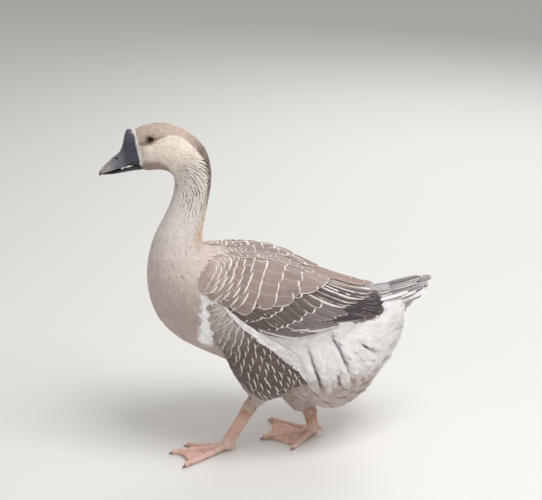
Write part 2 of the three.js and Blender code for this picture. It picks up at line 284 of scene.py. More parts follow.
# the grey flank's two sides as x and z, from the shoulder down to the leg
flankEdge = {
    "front": [(-0.124, 0.335), (-0.119, 0.290), (-0.108, 0.243), (-0.088, 0.200), (-0.062, 0.160),
              (-0.030, 0.136), (0.000, 0.132)],
    "rear": [(-0.113, 0.348), (-0.088, 0.306), (-0.062, 0.281), (-0.034, 0.259), (-0.004, 0.234),
             (0.026, 0.207), (0.052, 0.172)],
}


def trunkAxis(x):
    return 0.30 - 0.4 * x


def roundTrunk(points):
    return np.degrees(np.arctan2(np.abs(points[:, 1]), points[:, 2] - trunkAxis(points[:, 0])))


def wingShare(points, margin=4):
    # 1 inside the folded wing, 0 outside it
    x, turn = points[:, 0], roundTrunk(points)
    top = np.interp(x, wingEdge["x"], wingEdge["top"])
    foot = np.interp(x, wingEdge["x"], wingEdge["foot"])
    inside = ramp(turn, top - margin, top + margin) * ramp(foot - turn, -margin, margin)
    return inside * ramp(x, -0.144, -0.134) * ramp(0.206 - x, 0, 0.01) * (points[:, 2] > 0.20)


def insideLoop(points, loop):
    loop = np.array(loop)
    inside = np.zeros(len(points), dtype=bool)
    for a, b in zip(loop, np.roll(loop, -1, axis=0)):
        crosses = (a[1] > points[:, 1]) != (b[1] > points[:, 1])
        slope = (b[0] - a[0]) / (b[1] - a[1] + 1e-12)
        inside ^= crosses & (points[:, 0] < a[0] + slope * (points[:, 1] - a[1]))
    return inside


def flankShare(points):
    # soft inside the flank's outline, seen along Y
    loop = flankEdge["front"] + flankEdge["rear"][::-1]
    flat = points[:, [0, 2]]
    shifts = [(0, 0), (5, 0), (-5, 0), (0, 5), (0, -5), (3, 3), (-3, -3), (3, -3), (-3, 3)]
    share = sum(insideLoop(flat + np.array(shift) * mm, loop) for shift in shifts) / len(shifts)
    return share * ramp(np.abs(points[:, 1]), 0.035, 0.060)


# markings, the same for skin and coat

billNode = bpy.data.objects["bill_upper"]
billTree = BVHTree.FromPolygons([list(billNode.matrix_world @ v.co) for v in billNode.data.vertices],
                                [list(face.vertices) for face in billNode.data.polygons])

coatColours = {
    "cheek": (244, 231, 218),
    "crown": (196, 174, 158),
    "loresShade": (128, 104, 84),
    "nape": (98, 74, 65),
    "billRing": (255, 250, 246),
    "besideRingShade": (188, 164, 144),
    "throatShade": (142, 111, 93),
    "neck": (232, 224, 219),
    "neckBack": (236, 222, 204),
    "neckFoot": (220, 184, 154),
    "furrow": (104, 90, 82),
    "crease": (138, 130, 128),
    "breast": (208, 192, 184),
    "breastLow": (178, 160, 152),
    "mantle": (206, 191, 182),
    "back": (176, 158, 149),
    "wing": (136, 117, 110),
    "wingRear": (104, 90, 88),
    "flank": (97, 81, 77),
    "flankTop": (172, 160, 155),
    "white": (241, 238, 238),
    "whiteFront": (254, 253, 255),
    "bellyShade": (170, 147, 136),
    # the large feathers, and the paler first rows of their patches
    "primary": (66, 55, 57),
    "secondary": (121, 107, 109),
    "tertial": (84, 71, 70),
    "crossing": (164, 142, 132),
    "covert": (102, 88, 83),
    "scapular": (150, 132, 125),
    "scapularFront": (186, 168, 158),
    "flankFront": (178, 166, 161),
    "backFeather": (158, 140, 131),
    "backFront": (200, 184, 174),
    "tailFeather": (74, 64, 64),
}

# the line between the crown and the pale cheek, on down the side of the nape
crownBorder = {
    "x": (-0.2455, -0.2378, -0.2256, -0.2114, -0.1989, -0.1862, -0.1720, -0.1613, -0.1510, -0.1405, -0.1318,
          -0.1248, -0.1193, -0.1165),
    "z": (0.6192, 0.6181, 0.6213, 0.6272, 0.6325, 0.6355, 0.6332, 0.6280, 0.6186, 0.6071, 0.5938,
          0.5782, 0.5638, 0.5000),
}

# the line of the jaw, under which painted shade makes the throat brown
jawLine = {
    "x": (-0.245, -0.225, -0.207, -0.193, -0.183, -0.176, -0.165),
    "z": (0.589, 0.591, 0.590, 0.581, 0.564, 0.548, 0.525),
}

# where the white behind the flank begins, and how far round from the back the white of the belly reaches up
whiteEdge = {
    "z": (0.100, 0.172, 0.207, 0.234, 0.259, 0.281, 0.306, 0.350),
    "behindFlank": (0.020, 0.044, 0.018, -0.012, -0.042, -0.070, -0.096, -0.124),
    "x": (0.0, 0.10, 0.15, 0.19),
    "degrees": (58, 48, 34, 20),
}


def besideBill(points):
    # how far each point is from the horn of the upper bill; far ones are only told that they are far
    near = (points[:, 0] < -0.225) & (points[:, 2] > 0.55)
    away = np.full(len(points), 1.0)
    away[near] = [billTree.find_nearest(point)[3] for point in points[near].tolist()]
    return away


def linear(colour):
    share = np.array(colour, dtype=float) / 255
    return np.where(share <= 0.04045, share / 12.92, ((share + 0.055) / 1.055) ** 2.4)


def blend(colours, tone, share):
    return colours + (tone - colours) * share[:, None]


def overlay(colours, name, share):
    return blend(colours, linear(coatColours[name]), share)


furrows = {
    "gap": 6.0 * mm,
    "depth": 1.5 * mm,
    "neckRadius": 0.030,
    "wander": 0.0016,
    "from": 0.080,  # spine distances
    "to": 0.225,
    "lean": 8.3,
    "straightFrom": 0.165,
    "gather": 0.62,  # how far the leaves are drawn onto the ridges
}


def furrowPhase(points, along, turn):
    # ridges that lean towards the nape at the top of the neck and run straight lower down
    lean = -furrows["lean"] * np.clip(furrows["straightFrom"] - along, 0, None) ** 2
    around = turn * furrows["neckRadius"] + lean
    wander = noise(points, 0.035, 5) * furrows["wander"]
    return (around + wander) / furrows["gap"]


def furrowShare(points, along, turn):
    # how strong the furrows are: none on head and breast, down the nape's middle or under the throat
    share = ramp(along, furrows["from"], furrows["from"] + 0.03)
    share = share * ramp(-along, -furrows["to"], -furrows["to"] + 0.05)
    share = share * ramp(turn, 0.02, 0.20) * ramp(-turn, -2.6, -1.7)
    breaks = ramp(noise(points * np.array([1, 1, 0.45]), 0.012, 9), -0.75, 0.1)
    return share * (0.25 + 0.75 * breaks)


# where the white feathers of the side part: from and to as x and z, and how deep (mm)
partings = [
    {"from": (0.0888, 0.2700), "to": (0.1271, 0.1880), "depth": 5.5, "bow": 2.0},
    {"from": (0.0470, 0.2500), "to": (0.0773, 0.1600), "depth": 4.5, "bow": -2.0},
    {"from": (0.0300, 0.2250), "to": (0.0540, 0.1560), "depth": 3.5, "bow": 1.5},
    {"from": (0.1440, 0.2400), "to": (0.1800, 0.2080), "depth": 3.5, "bow": 1.5},
    {"from": (0.1050, 0.2050), "to": (0.1080, 0.1560), "depth": 3.0, "bow": 0.0},
]


def besideParting(points, parting):
    # how far to the front of the parting each point is, how much it is beside it, and the parting's way down
    start, end = np.array(parting["from"]), np.array(parting["to"])
    way, length = unit(end - start), np.linalg.norm(end - start)
    flat = points[:, [0, 2]] - start
    along = flat @ way
    bow = parting["bow"] * mm * np.sin(np.pi * np.clip(along / length, 0, 1))
    off = flat[:, 0] * way[1] - flat[:, 1] * way[0] + bow + 0.0012 * noise(points, 0.012, 22)
    share = ramp(along, -0.006, 0.014) * ramp(length - along, -0.008, 0.020)
    share = share * ramp(np.abs(points[:, 1]), 0.035, 0.055)
    return off, share, way


def relief(points):
    # ridges and furrows of the neck, soft creases of the white belly
    along, turn, _ = alongSpine(points)
    groove = np.cos(2 * np.pi * furrowPhase(points, along, turn))
    height = -furrows["depth"] * np.clip(groove, 0, 1) ** 1.5 * furrowShare(points, along, turn)
    for parting in partings:
        off, share, _ = besideParting(points, parting)
        gap = np.exp(-(off / (3.0 * mm)) ** 2) - 0.35 * np.exp(-((off + 9 * mm) / (6 * mm)) ** 2)
        height = height - parting["depth"] * mm * gap * share
    return height


def markings(points):
    # the colour at each point, laid on from the broad fields to the fine marks, painted shade among them
    along, turn, _ = alongSpine(points)
    angle = np.degrees(turn)
    x, y, z = points.T
    side = np.abs(y)
    patchy = noise(points, 0.020, 31) * 0.5 + noise(points, 0.008, 32) * 0.3
    colours = np.tile(linear(coatColours["neck"]), (len(points), 1))
    # neck: cream behind, tan at its foot
    neck = ramp(along, 0.09, 0.13) * ramp(-along, -0.30, -0.26)
    colours = overlay(colours, "neckBack", neck * ramp(-angle, -62, -38) * 0.8)
    colours = overlay(colours, "neckFoot", ramp(along, 0.19, 0.25) * ramp(-angle, -80, -35) * 0.85)
    # breast
    colours = overlay(colours, "breast", ramp(along, 0.20, 0.30) * ramp(angle, 30, 75) * 0.9)
    breastLow = ramp(along, 0.27, 0.36) * ramp(angle + 10 * patchy, 70, 120)
    colours = overlay(colours, "breastLow", breastLow * 0.8)
    # mantle and back
    upper = ramp(along, 0.235, 0.275) * ramp(-angle, -70, -50)
    colours = overlay(colours, "mantle", upper)
    colours = overlay(colours, "back", upper * ramp(x, -0.07, 0.0) * (0.7 + 0.3 * patchy))
    # white behind the flank and round the tail, a patch in front of the flank and a strip under the wing
    behindFlank = np.interp(z, whiteEdge["z"], whiteEdge["behindFlank"])
    whiteFrom = np.interp(x, whiteEdge["x"], whiteEdge["degrees"])
    white = ramp(x - behindFlank, -0.004, 0.006) * ramp(angle - whiteFrom, 0, 14) * ramp(x, -0.10, -0.07)
    white = np.maximum(white, ramp(x, 0.150, 0.185))
    front = ramp(side, 0.062, 0.076) * ramp(-np.abs(x + 0.131 + 0.10 * (0.33 - z)), -0.016, -0.008)
    front = front * ramp(z, 0.236, 0.262) * ramp(-z, -0.362, -0.348)
    strip = ramp(-np.abs(roundTrunk(points) - np.interp(x, wingEdge["x"], wingEdge["foot"]) - 5), -9, -5)
    strip = strip * ramp(x, -0.125, -0.08) * ramp(-x, -0.05, -0.02) * ramp(z, 0.21, 0.24)
    white = np.maximum(np.maximum(white, front), strip)
    colours = overlay(colours, "white", white)
    colours = overlay(colours, "whiteFront", front)
    # painted shade in the gap along each parting
    for parting in partings:
        off, share, _ = besideParting(points, parting)
        colours = overlay(colours, "crease", share * np.exp(-(off / (2.4 * mm)) ** 2) * 0.9)
    # painted shade where the belly turns under, in pinkish brown
    bellyShade = ramp(x, -0.02, 0.03) * ramp(-z + 0.012 * patchy, -0.192, -0.150) * ramp(-x, -0.22, -0.17)
    colours = overlay(colours, "bellyShade", np.clip(bellyShade * (0.75 + 0.3 * patchy), 0, 1))
    # flank and wing
    flank = flankShare(points)
    colours = overlay(colours, "flank", flank)
    colours = overlay(colours, "flankTop", flank * ramp(z, 0.24, 0.32))
    wing = wingShare(points)
    colours = overlay(colours, "wing", wing)
    colours = overlay(colours, "wingRear", wing * ramp(x, 0.06, 0.14))
    # head: pale cheek under a tan crown that narrows to a brown stripe down the nape
    head = ramp(-along, -0.125, -0.095)
    colours = overlay(colours, "cheek", head)
    crownLine = np.interp(x, crownBorder["x"], crownBorder["z"])
    cap = ramp(z + 0.0015 * patchy - crownLine, -0.0015, 0.0020) * ramp(-along, -0.17, -0.13)
    colours = overlay(colours, "crown", cap)
    stripe = ramp(-side, -0.0225, -0.0165) * ramp(-angle, -66, -48)
    nape = np.maximum(cap * ramp(x, -0.165, -0.140), stripe * ramp(along, 0.095, 0.12))
    nape = nape * ramp(-along, -0.20, -0.15) * ramp(along, 0.066, 0.105)
    colours = overlay(colours, "nape", np.clip(nape * (0.9 + 0.25 * patchy), 0, 1))
    # painted shade under the jaw, brown on the throat
    jaw = np.interp(x, jawLine["x"], jawLine["z"])
    chin = ramp(jaw - z + 0.002 * patchy, -0.006, 0.007) * ramp(-x, 0.155, 0.168) * ramp(z, 0.525, 0.555)
    colours = overlay(colours, "throatShade", chin * 0.85)
    # painted shade round the eye: a dark streak before it, a short one behind it and a dark rim
    away = x - eyes["at"][0]
    before = ramp(-away, 0.002, 0.010) * ramp(x, -0.247, -0.234)
    before = before * np.exp(-((z - crownLine - 0.0024) / 0.0052) ** 2)
    behind = ramp(away, 0.004, 0.009) * ramp(-away, -0.030, -0.016)
    behind = behind * np.exp(-((z - crownLine - 0.0018) / 0.0026) ** 2)
    rim = np.exp(-((np.hypot(away, z - eyes["at"][2]) - 0.0072) / 0.0030) ** 2)
    colours = overlay(colours, "loresShade", np.clip(0.85 * before + 0.6 * behind + 0.55 * rim, 0, 1) * head)
    # a thin white ring along the bill, with a soft band of painted shade beside it
    toBill = besideBill(points)
    soft = ramp(toBill, 0.007, 0.012) * ramp(-toBill, -0.0195, -0.0105)
    soft = soft * ramp(z, 0.578, 0.606) * ramp(crownLine - z, -0.002, 0.004)
    colours = overlay(colours, "besideRingShade", soft * 0.5 * head)
    colours = overlay(colours, "billRing", ramp(-toBill, -0.0088, -0.0064) * (z > 0.572))
    # furrows are darker than the ridges: the feathers' grey bases show in them, with painted shade on top
    groove = np.clip(np.cos(2 * np.pi * furrowPhase(points, along, turn)), 0, 1) ** 2
    colours = overlay(colours, "furrow", groove * furrowShare(points, along, turn) * 0.75)
    return np.clip(colours * (1 + 0.05 * patchy)[:, None], 0, 1)


skinForm = {
    "voxel": 3.0 * mm,
    "smoothing": 14,
    "swell": 0.6 * mm,
    "depths": {"head": 1.3 * mm, "neck": 3.0 * mm, "body": 4.5 * mm},
    "stubFrom": 0.243,  # the fleshy tail ends here, and quills go on from it
    "stubShare": 0.35,
    "hollowBack": 7.5 * mm,  # how much lower the front of the back lies than in the solids, most on the right
}

# where the right eyeball sits, mirrored for the left one, and how their lids open
eyes = {
    "at": (-0.2195, 0.0168, 0.6295),
    "radius": 8.8 * mm,
    "looks": (-0.17, 0.975, 0.10),
    "opening": 41,  # degrees from the middle of the pupil to the lid's edge
    "oval": 0.07,
    "lid": 1.0 * mm,
    "crease": 0.7 * mm,
    "cuts": (16 * mm, 13 * mm, 11.5 * mm),
}

fleshNodes = ["head", "neck_upper", "neck_lower", "trunk", "tail"]
fleshNodes += [part + side for side in ("left", "right") for part in ("wing_", "thigh_")]


def headShare(points):
    # 1 on the head, 0 from the throat down
    return ramp(points[:, 2] - 0.4 * points[:, 0], 0.600, 0.660)


def coatDepth(points):
    neck = ramp(points[:, 2], 0.40, 0.47) * (points[:, 0] < 0.0)
    depths = skinForm["depths"]
    trunk = depths["body"] + (depths["neck"] - depths["body"]) * neck
    return trunk + (depths["head"] - trunk) * headShare(points)


def facesNear(piece, centre, reach):
    middles = np.empty(len(piece.data.polygons) * 3)
    piece.data.polygons.foreach_get("center", middles)
    return np.linalg.norm(middles.reshape(-1, 3) - centre, axis=1) < reach


def selectFaces(piece, chosen):
    editAll(piece)
    bpy.ops.mesh.select_mode(type="FACE")
    bpy.ops.mesh.select_all(action="DESELECT")
    leaveEdit()
    piece.data.polygons.foreach_set("select", chosen)
    bpy.ops.object.mode_set(mode="EDIT")


def eyePlace(side):
    # the eyeball's middle and the way it looks: side is 1 for the right eye and -1 for the left one
    mirror = (1, side, 1)
    return np.array(eyes["at"]) * mirror, unit(np.array(eyes["looks"]) * mirror)


def openLids(points, side):
    # draw the skin over the ball and leave an oval open, with a rim and a crease round it
    centre, axis = eyePlace(side)
    ahead = unit(np.array([1, 0, 0]) - axis * axis[0])
    arms = points - centre
    reach = np.linalg.norm(arms, axis=1)
    near = reach < 20 * mm
    ways = arms[near] / reach[near, None]
    turn = np.degrees(np.arccos(np.clip(ways @ axis, -1, 1)))
    flat = np.clip(np.abs(ways @ ahead) / np.maximum(np.sin(np.radians(turn)), 1e-6), 0, 1)
    turn = turn * (1 + eyes["oval"] * (1 - 2 * flat ** 2))
    opening, ball = eyes["opening"], eyes["radius"]
    rim = ball + eyes["lid"] * (1 - 0.5 * ramp(turn, opening + 6, opening + 20))
    crease = eyes["crease"] * np.exp(-((turn - opening - 21) / 6) ** 2)
    blend = ramp(turn, opening + 14, opening + 46)
    drawn = rim + (np.maximum(reach[near], ball * 0.86) - rim) * blend - crease
    drawn = np.where(turn < opening, ball - 1.5 * mm, drawn)
    drawn = np.where(turn > opening + 60, reach[near], drawn)
    points[near] = centre + ways * drawn[:, None]


def paintPoints(piece, colours):
    paint = np.ones((len(colours), 4), dtype=np.float32)
    paint[:, :3] = colours
    piece.data.attributes.new("mark", "FLOAT_COLOR", "POINT").data.foreach_set("color", paint.ravel())


def makeSkin():
    skin = copyOfNodes("skin", [node for node in fleshNodes if node != "tail"] + ["eye_left", "eye_right"])
    remesh(skin, skinForm["voxel"], skinForm["smoothing"], skinForm["swell"])
    points, normals = pointsOf(skin), normalsOf(skin)
    points = points - normals * (coatDepth(points) + skinForm["swell"])[:, None]
    # hollow the back between the wings' shoulders, and shorten the tail to a stub
    turn = np.degrees(np.arctan2(points[:, 1], points[:, 2] - trunkAxis(points[:, 0])))
    low = ramp(turn, -32, 4) * ramp(-turn, -78, -48) * ramp(points[:, 0], -0.150, -0.122)
    low = low * ramp(-points[:, 0], -0.045, 0.030) * ramp(-points[:, 2], -0.440, -0.418)
    points[:, 2] -= skinForm["hollowBack"] * low
    beyond = np.maximum(points[:, 0] - skinForm["stubFrom"], 0)
    points[:, 0] -= beyond * (1 - skinForm["stubShare"])
    movePoints(skin, points)
    for reach in eyes["cuts"]:
        right, left = (facesNear(skin, eyePlace(side)[0], reach) for side in (1, -1))
        selectFaces(skin, right | left)
        bpy.ops.mesh.subdivide(number_cuts=1)
        leaveEdit()
    points = pointsOf(skin)
    points = points + normalsOf(skin) * (relief(points) * (1 - headShare(points)))[:, None]
    for side in (1, -1):
        openLids(points, side)
    movePoints(skin, points)
    pickOnly(skin)
    bpy.ops.object.shade_smooth()
    paintPoints(skin, markings(points))
    return skin


skin = makeSkin()
finishPiece(skin, fleshNodes)
print("skin", len(skin.data.polygons))

# materials, and the node groups that they share


def newMaterial(name, **constants):
    material = bpy.data.materials.new(name)
    material.use_nodes = True
    shader = material.node_tree.nodes["Principled BSDF"]
    for socket, value in constants.items():
        shader.inputs[socket.replace("_", " ")].default_value = value
    return material, material.node_tree, shader


def addNode(tree, kind, inputs=None, **settings):
    node = tree.nodes.new("ShaderNode" + kind)
    for key, value in settings.items():
        setattr(node, key, value)
    for key, value in (inputs or {}).items():
        if isinstance(value, bpy.types.NodeSocket):
            tree.links.new(value, node.inputs[key])
        else:
            node.inputs[key].default_value = value
    return node


def mathNode(tree, operation, *values, clamp=False):
    return addNode(tree, "Math", dict(enumerate(values)), operation=operation, use_clamp=clamp).outputs[0]


def stepNode(tree, value, low, high):
    inputs = {"Value": value, "From Min": low, "From Max": high}
    node = addNode(tree, "MapRange", inputs, interpolation_type="SMOOTHSTEP")
    return node.outputs["Result"]


def mixNode(tree, share, first, second, way="MIX"):
    inputs = {0: share, 6: first, 7: second}  # the mix node's factor and its two colours
    return addNode(tree, "Mix", inputs, data_type="RGBA", blend_type=way).outputs[2]


def newGroup(name, inputs, outputs):
    group = bpy.data.node_groups.new(name, "ShaderNodeTree")
    for label, kind, value in inputs:
        socket = group.interface.new_socket(label, in_out="INPUT", socket_type="NodeSocket" + kind)
        if value is not None:
            socket.default_value = value
    for label, kind in outputs:
        group.interface.new_socket(label, in_out="OUTPUT", socket_type="NodeSocket" + kind)
    return group, group.nodes.new("NodeGroupInput").outputs, group.nodes.new("NodeGroupOutput").inputs


def useGroup(tree, group, **inputs):
    return addNode(tree, "Group", inputs, node_tree=group).outputs


def makeMottle():
    # broad and fine unevenness of colour, so that no part is one flat tone
    group, given, result = newGroup("mottle", [
        ("Color", "Color", None), ("Amount", "Float", 0.2), ("Size", "Float", 0.02),
    ], [("Color", "Color"), ("Value", "Float")])
    place = addNode(group, "TexCoord").outputs["Object"]
    scale = mathNode(group, "DIVIDE", 1.0, given["Size"])
    broad = addNode(group, "TexNoise", {"Vector": place, "Scale": scale, "Detail": 4.0}).outputs["Fac"]
    fineScale = mathNode(group, "MULTIPLY", scale, 6.0)
    fine = addNode(group, "TexNoise", {"Vector": place, "Scale": fineScale, "Detail": 3.0}).outputs["Fac"]
    both = mathNode(group, "MULTIPLY_ADD", fine, 0.5, mathNode(group, "MULTIPLY", broad, 0.9))
    shift = mathNode(group, "MULTIPLY", mathNode(group, "SUBTRACT", both, 0.7), given["Amount"])
    bright = mathNode(group, "ADD", 1.0, shift)
    mixed = mixNode(group, 1.0, given["Color"], bright, "MULTIPLY")
    group.links.new(mixed, result["Color"])
    group.links.new(both, result["Value"])
    return group


def makeVaneMarks():
    # a feather's rims, shaft and barbs, drawn in its own across and along map
    group, given, result = newGroup("vaneMarks", [
        ("Color", "Color", None), ("RimColor", "Color", None), ("Rims", "Color", None),
        ("TipRim", "Float", 0.05), ("Barbs", "Float", 36.0), ("Shaft", "Float", 0.3),
    ], [("Color", "Color"), ("Height", "Float"), ("Gloss", "Float")])
    vane = addNode(group, "UVMap", uv_map="Vane").outputs["UV"]
    split = addNode(group, "SeparateXYZ", {"Vector": vane}).outputs
    rims = addNode(group, "SeparateColor", {"Color": given["Rims"]}).outputs
    across = mathNode(group, "MULTIPLY_ADD", split["X"], 2.0, -1.0)
    out = mathNode(group, "ABSOLUTE", across)
    place = addNode(group, "TexCoord").outputs["Object"]
    ragged = addNode(group, "TexNoise", {"Vector": place, "Scale": 420.0, "Detail": 2.0}).outputs["Fac"]
    ragged = mathNode(group, "MULTIPLY_ADD", ragged, 0.24, -0.12)
    raggedEdge = mathNode(group, "MULTIPLY", ragged, mathNode(group, "MULTIPLY", rims["Blue"], 3.0))
    edgeEnd = mathNode(group, "SUBTRACT", 1.0, mathNode(group, "MULTIPLY", rims["Blue"], 0.75))
    edgeStart = mathNode(group, "SUBTRACT", 1.0, mathNode(group, "MULTIPLY", rims["Blue"], 1.25))
    edge = stepNode(group, mathNode(group, "ADD", out, raggedEdge), edgeStart, edgeEnd)
    edge = mathNode(group, "MULTIPLY", edge, stepNode(group, split["Y"], 0.45, 0.80))
    raggedTip = mathNode(group, "MULTIPLY", ragged, mathNode(group, "MULTIPLY", given["TipRim"], 3.0))
    tipEnd = mathNode(group, "SUBTRACT", 1.0, mathNode(group, "MULTIPLY", given["TipRim"], 0.75))
    tipStart = mathNode(group, "SUBTRACT", 1.0, mathNode(group, "MULTIPLY", given["TipRim"], 1.25))
    tip = stepNode(group, mathNode(group, "ADD", raggedTip, split["Y"]), tipStart, tipEnd)
    whole = mathNode(group, "MULTIPLY", mathNode(group, "MAXIMUM", edge, tip), rims["Red"])
    lowEdge = stepNode(group, mathNode(group, "ADD", across, raggedEdge), edgeStart, edgeEnd)
    lowEdge = mathNode(group, "MULTIPLY", lowEdge, rims["Green"])
    rim = mathNode(group, "MAXIMUM", whole, lowEdge, clamp=True)
    slant = mathNode(group, "MULTIPLY_ADD", out, -0.35, split["Y"])
    waves = mathNode(group, "MULTIPLY", slant, given["Barbs"])
    barbs = mathNode(group, "PINGPONG", mathNode(group, "MULTIPLY_ADD", ragged, 1.6, waves), 0.5)
    barbs = mathNode(group, "MULTIPLY", barbs, 2.0)
    shaft = stepNode(group, out, 0.10, 0.03)
    dull = mathNode(group, "MULTIPLY_ADD", barbs, 0.10, 0.90)
    shade = mixNode(group, 1.0, given["Color"], dull, "MULTIPLY")
    shaftShare = mathNode(group, "MULTIPLY", shaft, given["Shaft"])
    shade = mixNode(group, shaftShare, shade, given["RimColor"])
    shade = mixNode(group, rim, shade, given["RimColor"])
    group.links.new(shade, result["Color"])
    height = mathNode(group, "MULTIPLY_ADD", shaft, 0.8, mathNode(group, "MULTIPLY", barbs, 0.35))
    group.links.new(height, result["Height"])
    group.links.new(mathNode(group, "MULTIPLY_ADD", barbs, 0.12, 0.62), result["Gloss"])
    return group


mottle = makeMottle()
vaneMarks = makeVaneMarks()


def mottledMark(tree, amount, size):
    # the colour that is painted on the points, made uneven
    mark = addNode(tree, "Attribute", attribute_name="mark").outputs["Color"]
    return useGroup(tree, mottle, Color=mark, Amount=amount, Size=size)


def addBump(tree, shader, height, distance, strength):
    raised = addNode(tree, "Bump", {"Height": height, "Distance": distance, "Strength": strength})
    tree.links.new(raised.outputs["Normal"], shader.inputs["Normal"])


def featherMaterial(name, rim, barbs, shaft, amount, bump):
    material, tree, shader = newMaterial(name, Sheen_Weight=0.12, Sheen_Roughness=0.5)
    rims = addNode(tree, "Attribute", attribute_name="rims").outputs
    uneven = mottledMark(tree, amount, 0.012)
    drawn = useGroup(tree, vaneMarks, Color=uneven["Color"], RimColor=(*linear(rim), 1),
                     Rims=rims["Color"], TipRim=rims["Alpha"], Barbs=barbs, Shaft=shaft)
    tree.links.new(drawn["Color"], shader.inputs["Base Color"])
    tree.links.new(drawn["Gloss"], shader.inputs["Roughness"])
    addBump(tree, shader, drawn["Height"], bump, 0.6)
    return material


# barbs along a vane, how much the shaft shows, the amount of mottling and the height of the barbs
featherLooks = {
    "featherDown": {"rim": (238, 230, 224), "barbs": 14.0, "shaft": 0.0, "amount": 0.30, "bump": 0.15 * mm},
    "featherWing": {"rim": (240, 231, 223), "barbs": 44.0, "shaft": 0.12, "amount": 0.40, "bump": 0.25 * mm},
    "featherFlank": {"rim": (226, 216, 210), "barbs": 34.0, "shaft": 0.05, "amount": 0.40, "bump": 0.2 * mm},
    "featherTail": {"rim": (240, 234, 230), "barbs": 60.0, "shaft": 0.3, "amount": 0.35, "bump": 0.25 * mm},
}
finishes = {name: featherMaterial(name, **look) for name, look in featherLooks.items()}


def makeFeatherSkin():
    material, tree, shader = newMaterial("featherSkin", Roughness=0.85)
    uneven = mottledMark(tree, 0.35, 0.01)
    tree.links.new(uneven["Color"], shader.inputs["Base Color"])
    addBump(tree, shader, uneven["Value"], 0.6 * mm, 0.5)
    return material


def dress(piece, material):
    piece.data.materials.clear()
    piece.data.materials.append(material)


dress(skin, makeFeatherSkin())

# the skin as a ground for feathers


def readGround(piece):
    mesh = piece.data
    mesh.calc_loop_triangles()
    corners = np.empty(len(mesh.loop_triangles) * 3, dtype=np.int32)
    mesh.loop_triangles.foreach_get("vertices", corners)
    corners = corners.reshape(-1, 3)
    points, normals = pointsOf(piece), normalsOf(piece)
    tree = BVHTree.FromPolygons(points.tolist(), corners.tolist(), all_triangles=True)
    return {"corners": corners, "points": points, "normals": normals, "tree": tree}


ground = readGround(skin)
farOut = 0.45  # rays to it start this far from the trunk's middle


def groundNormals(places, faces):
    # the smooth normal at each place on its triangle
    a, b, c = (ground["points"][ground["corners"][faces, k]] for k in range(3))
    whole = np.cross(b - a, c - a)
    size = np.maximum((whole ** 2).sum(1), 1e-20)
    shareB = (np.cross(places - a, c - a) * whole).sum(1) / size
    shareC = (np.cross(b - a, places - a) * whole).sum(1) / size
    na, nb, nc = (ground["normals"][ground["corners"][faces, k]] for k in range(3))
    return unit(na * (1 - shareB - shareC)[:, None] + nb * shareB[:, None] + nc * shareC[:, None])


def touchGround(points):
    find = ground["tree"].find_nearest
    places, faces = [], []
    for point in points.tolist():
        place, _, face, _ = find(point)
        places.append(place)
        faces.append(face)
    places = np.array(places)
    return places, groundNormals(places, np.array(faces))


def castOnGround(starts, ways):
    cast = ground["tree"].ray_cast
    find = ground["tree"].find_nearest
    places, faces = [], []
    for start, way in zip(starts.tolist(), ways.tolist()):
        place, _, face, _ = cast(start, way)
        if place is None:
            place, _, face, _ = find([s + farOut * w for s, w in zip(start, way)])
        places.append(place)
        faces.append(face)
    places = np.array(places)
    return places, groundNormals(places, np.array(faces))


# One leaf of each kind is modelled and then copied. Along and breadth of each row of it, from quill to tip:
leafForms = {
    "fluff": {"corners": 4, "rows": [(0, 0.45), (0.5, 1.0), (1, 0.35)]},
    "contour": {"corners": 4, "rows": [(0, 0.4), (0.35, 0.95), (0.78, 0.95), (1, 0.36)]},
    "covert": {"corners": 8, "rows": [(0, 0.35), (0.28, 0.82), (0.55, 0.98), (0.78, 1.0), (0.91, 0.86),
                                      (0.975, 0.58), (1, 0.26)]},
    "quill": {"corners": 8, "rows": [(0, 0.3), (0.18, 0.66), (0.42, 0.92), (0.64, 1.0), (0.80, 0.90),
                                     (0.92, 0.64), (0.98, 0.34), (1, 0.12)]},
}


def modelLeaf(corners, rows):
    # a flat ring drawn out row by row into a thin closed leaf
    bpy.ops.object.select_all(action="DESELECT")
    bpy.ops.mesh.primitive_circle_add(vertices=corners, radius=1, fill_type="NGON",
                                      rotation=(math.radians(90), 0, 0))
    leaf = bpy.context.active_object
    settle(leaf)
    editAll(leaf)
    bpy.ops.transform.resize(value=(rows[0][1], 1, rows[0][1]))
    for (start, breadth), (end, wider) in zip(rows, rows[1:]):
        bpy.ops.mesh.extrude_region_move(TRANSFORM_OT_translate={"value": (0, end - start, 0)})
        bpy.ops.transform.resize(value=(wider / breadth, 1, wider / breadth))
    bpy.ops.mesh.select_all(action="SELECT")
    bpy.ops.mesh.normals_make_consistent(inside=False)
    leaveEdit()
    points = pointsOf(leaf)
    along = np.array([row[0] for row in rows])
    row = np.abs(points[:, 1:2] - along[None]).argmin(1)
    breadth = np.array([row[1] for row in rows])[row]
    loops = np.empty(len(leaf.data.loops), dtype=np.int32)
    leaf.data.loops.foreach_get("vertex_index", loops)
    starts = np.empty(len(leaf.data.polygons), dtype=np.int32)
    leaf.data.polygons.foreach_get("loop_start", starts)
    shape = {"across": points[:, 0] / breadth, "along": along, "row": row, "breadth": breadth,
             "thick": points[:, 2] / breadth, "loops": loops, "starts": starts,
             "triangles": int(len(loops) - 2 * len(starts))}
    bpy.ops.object.delete()
    return shape


leaves = {kind: modelLeaf(**form) for kind, form in leafForms.items()}


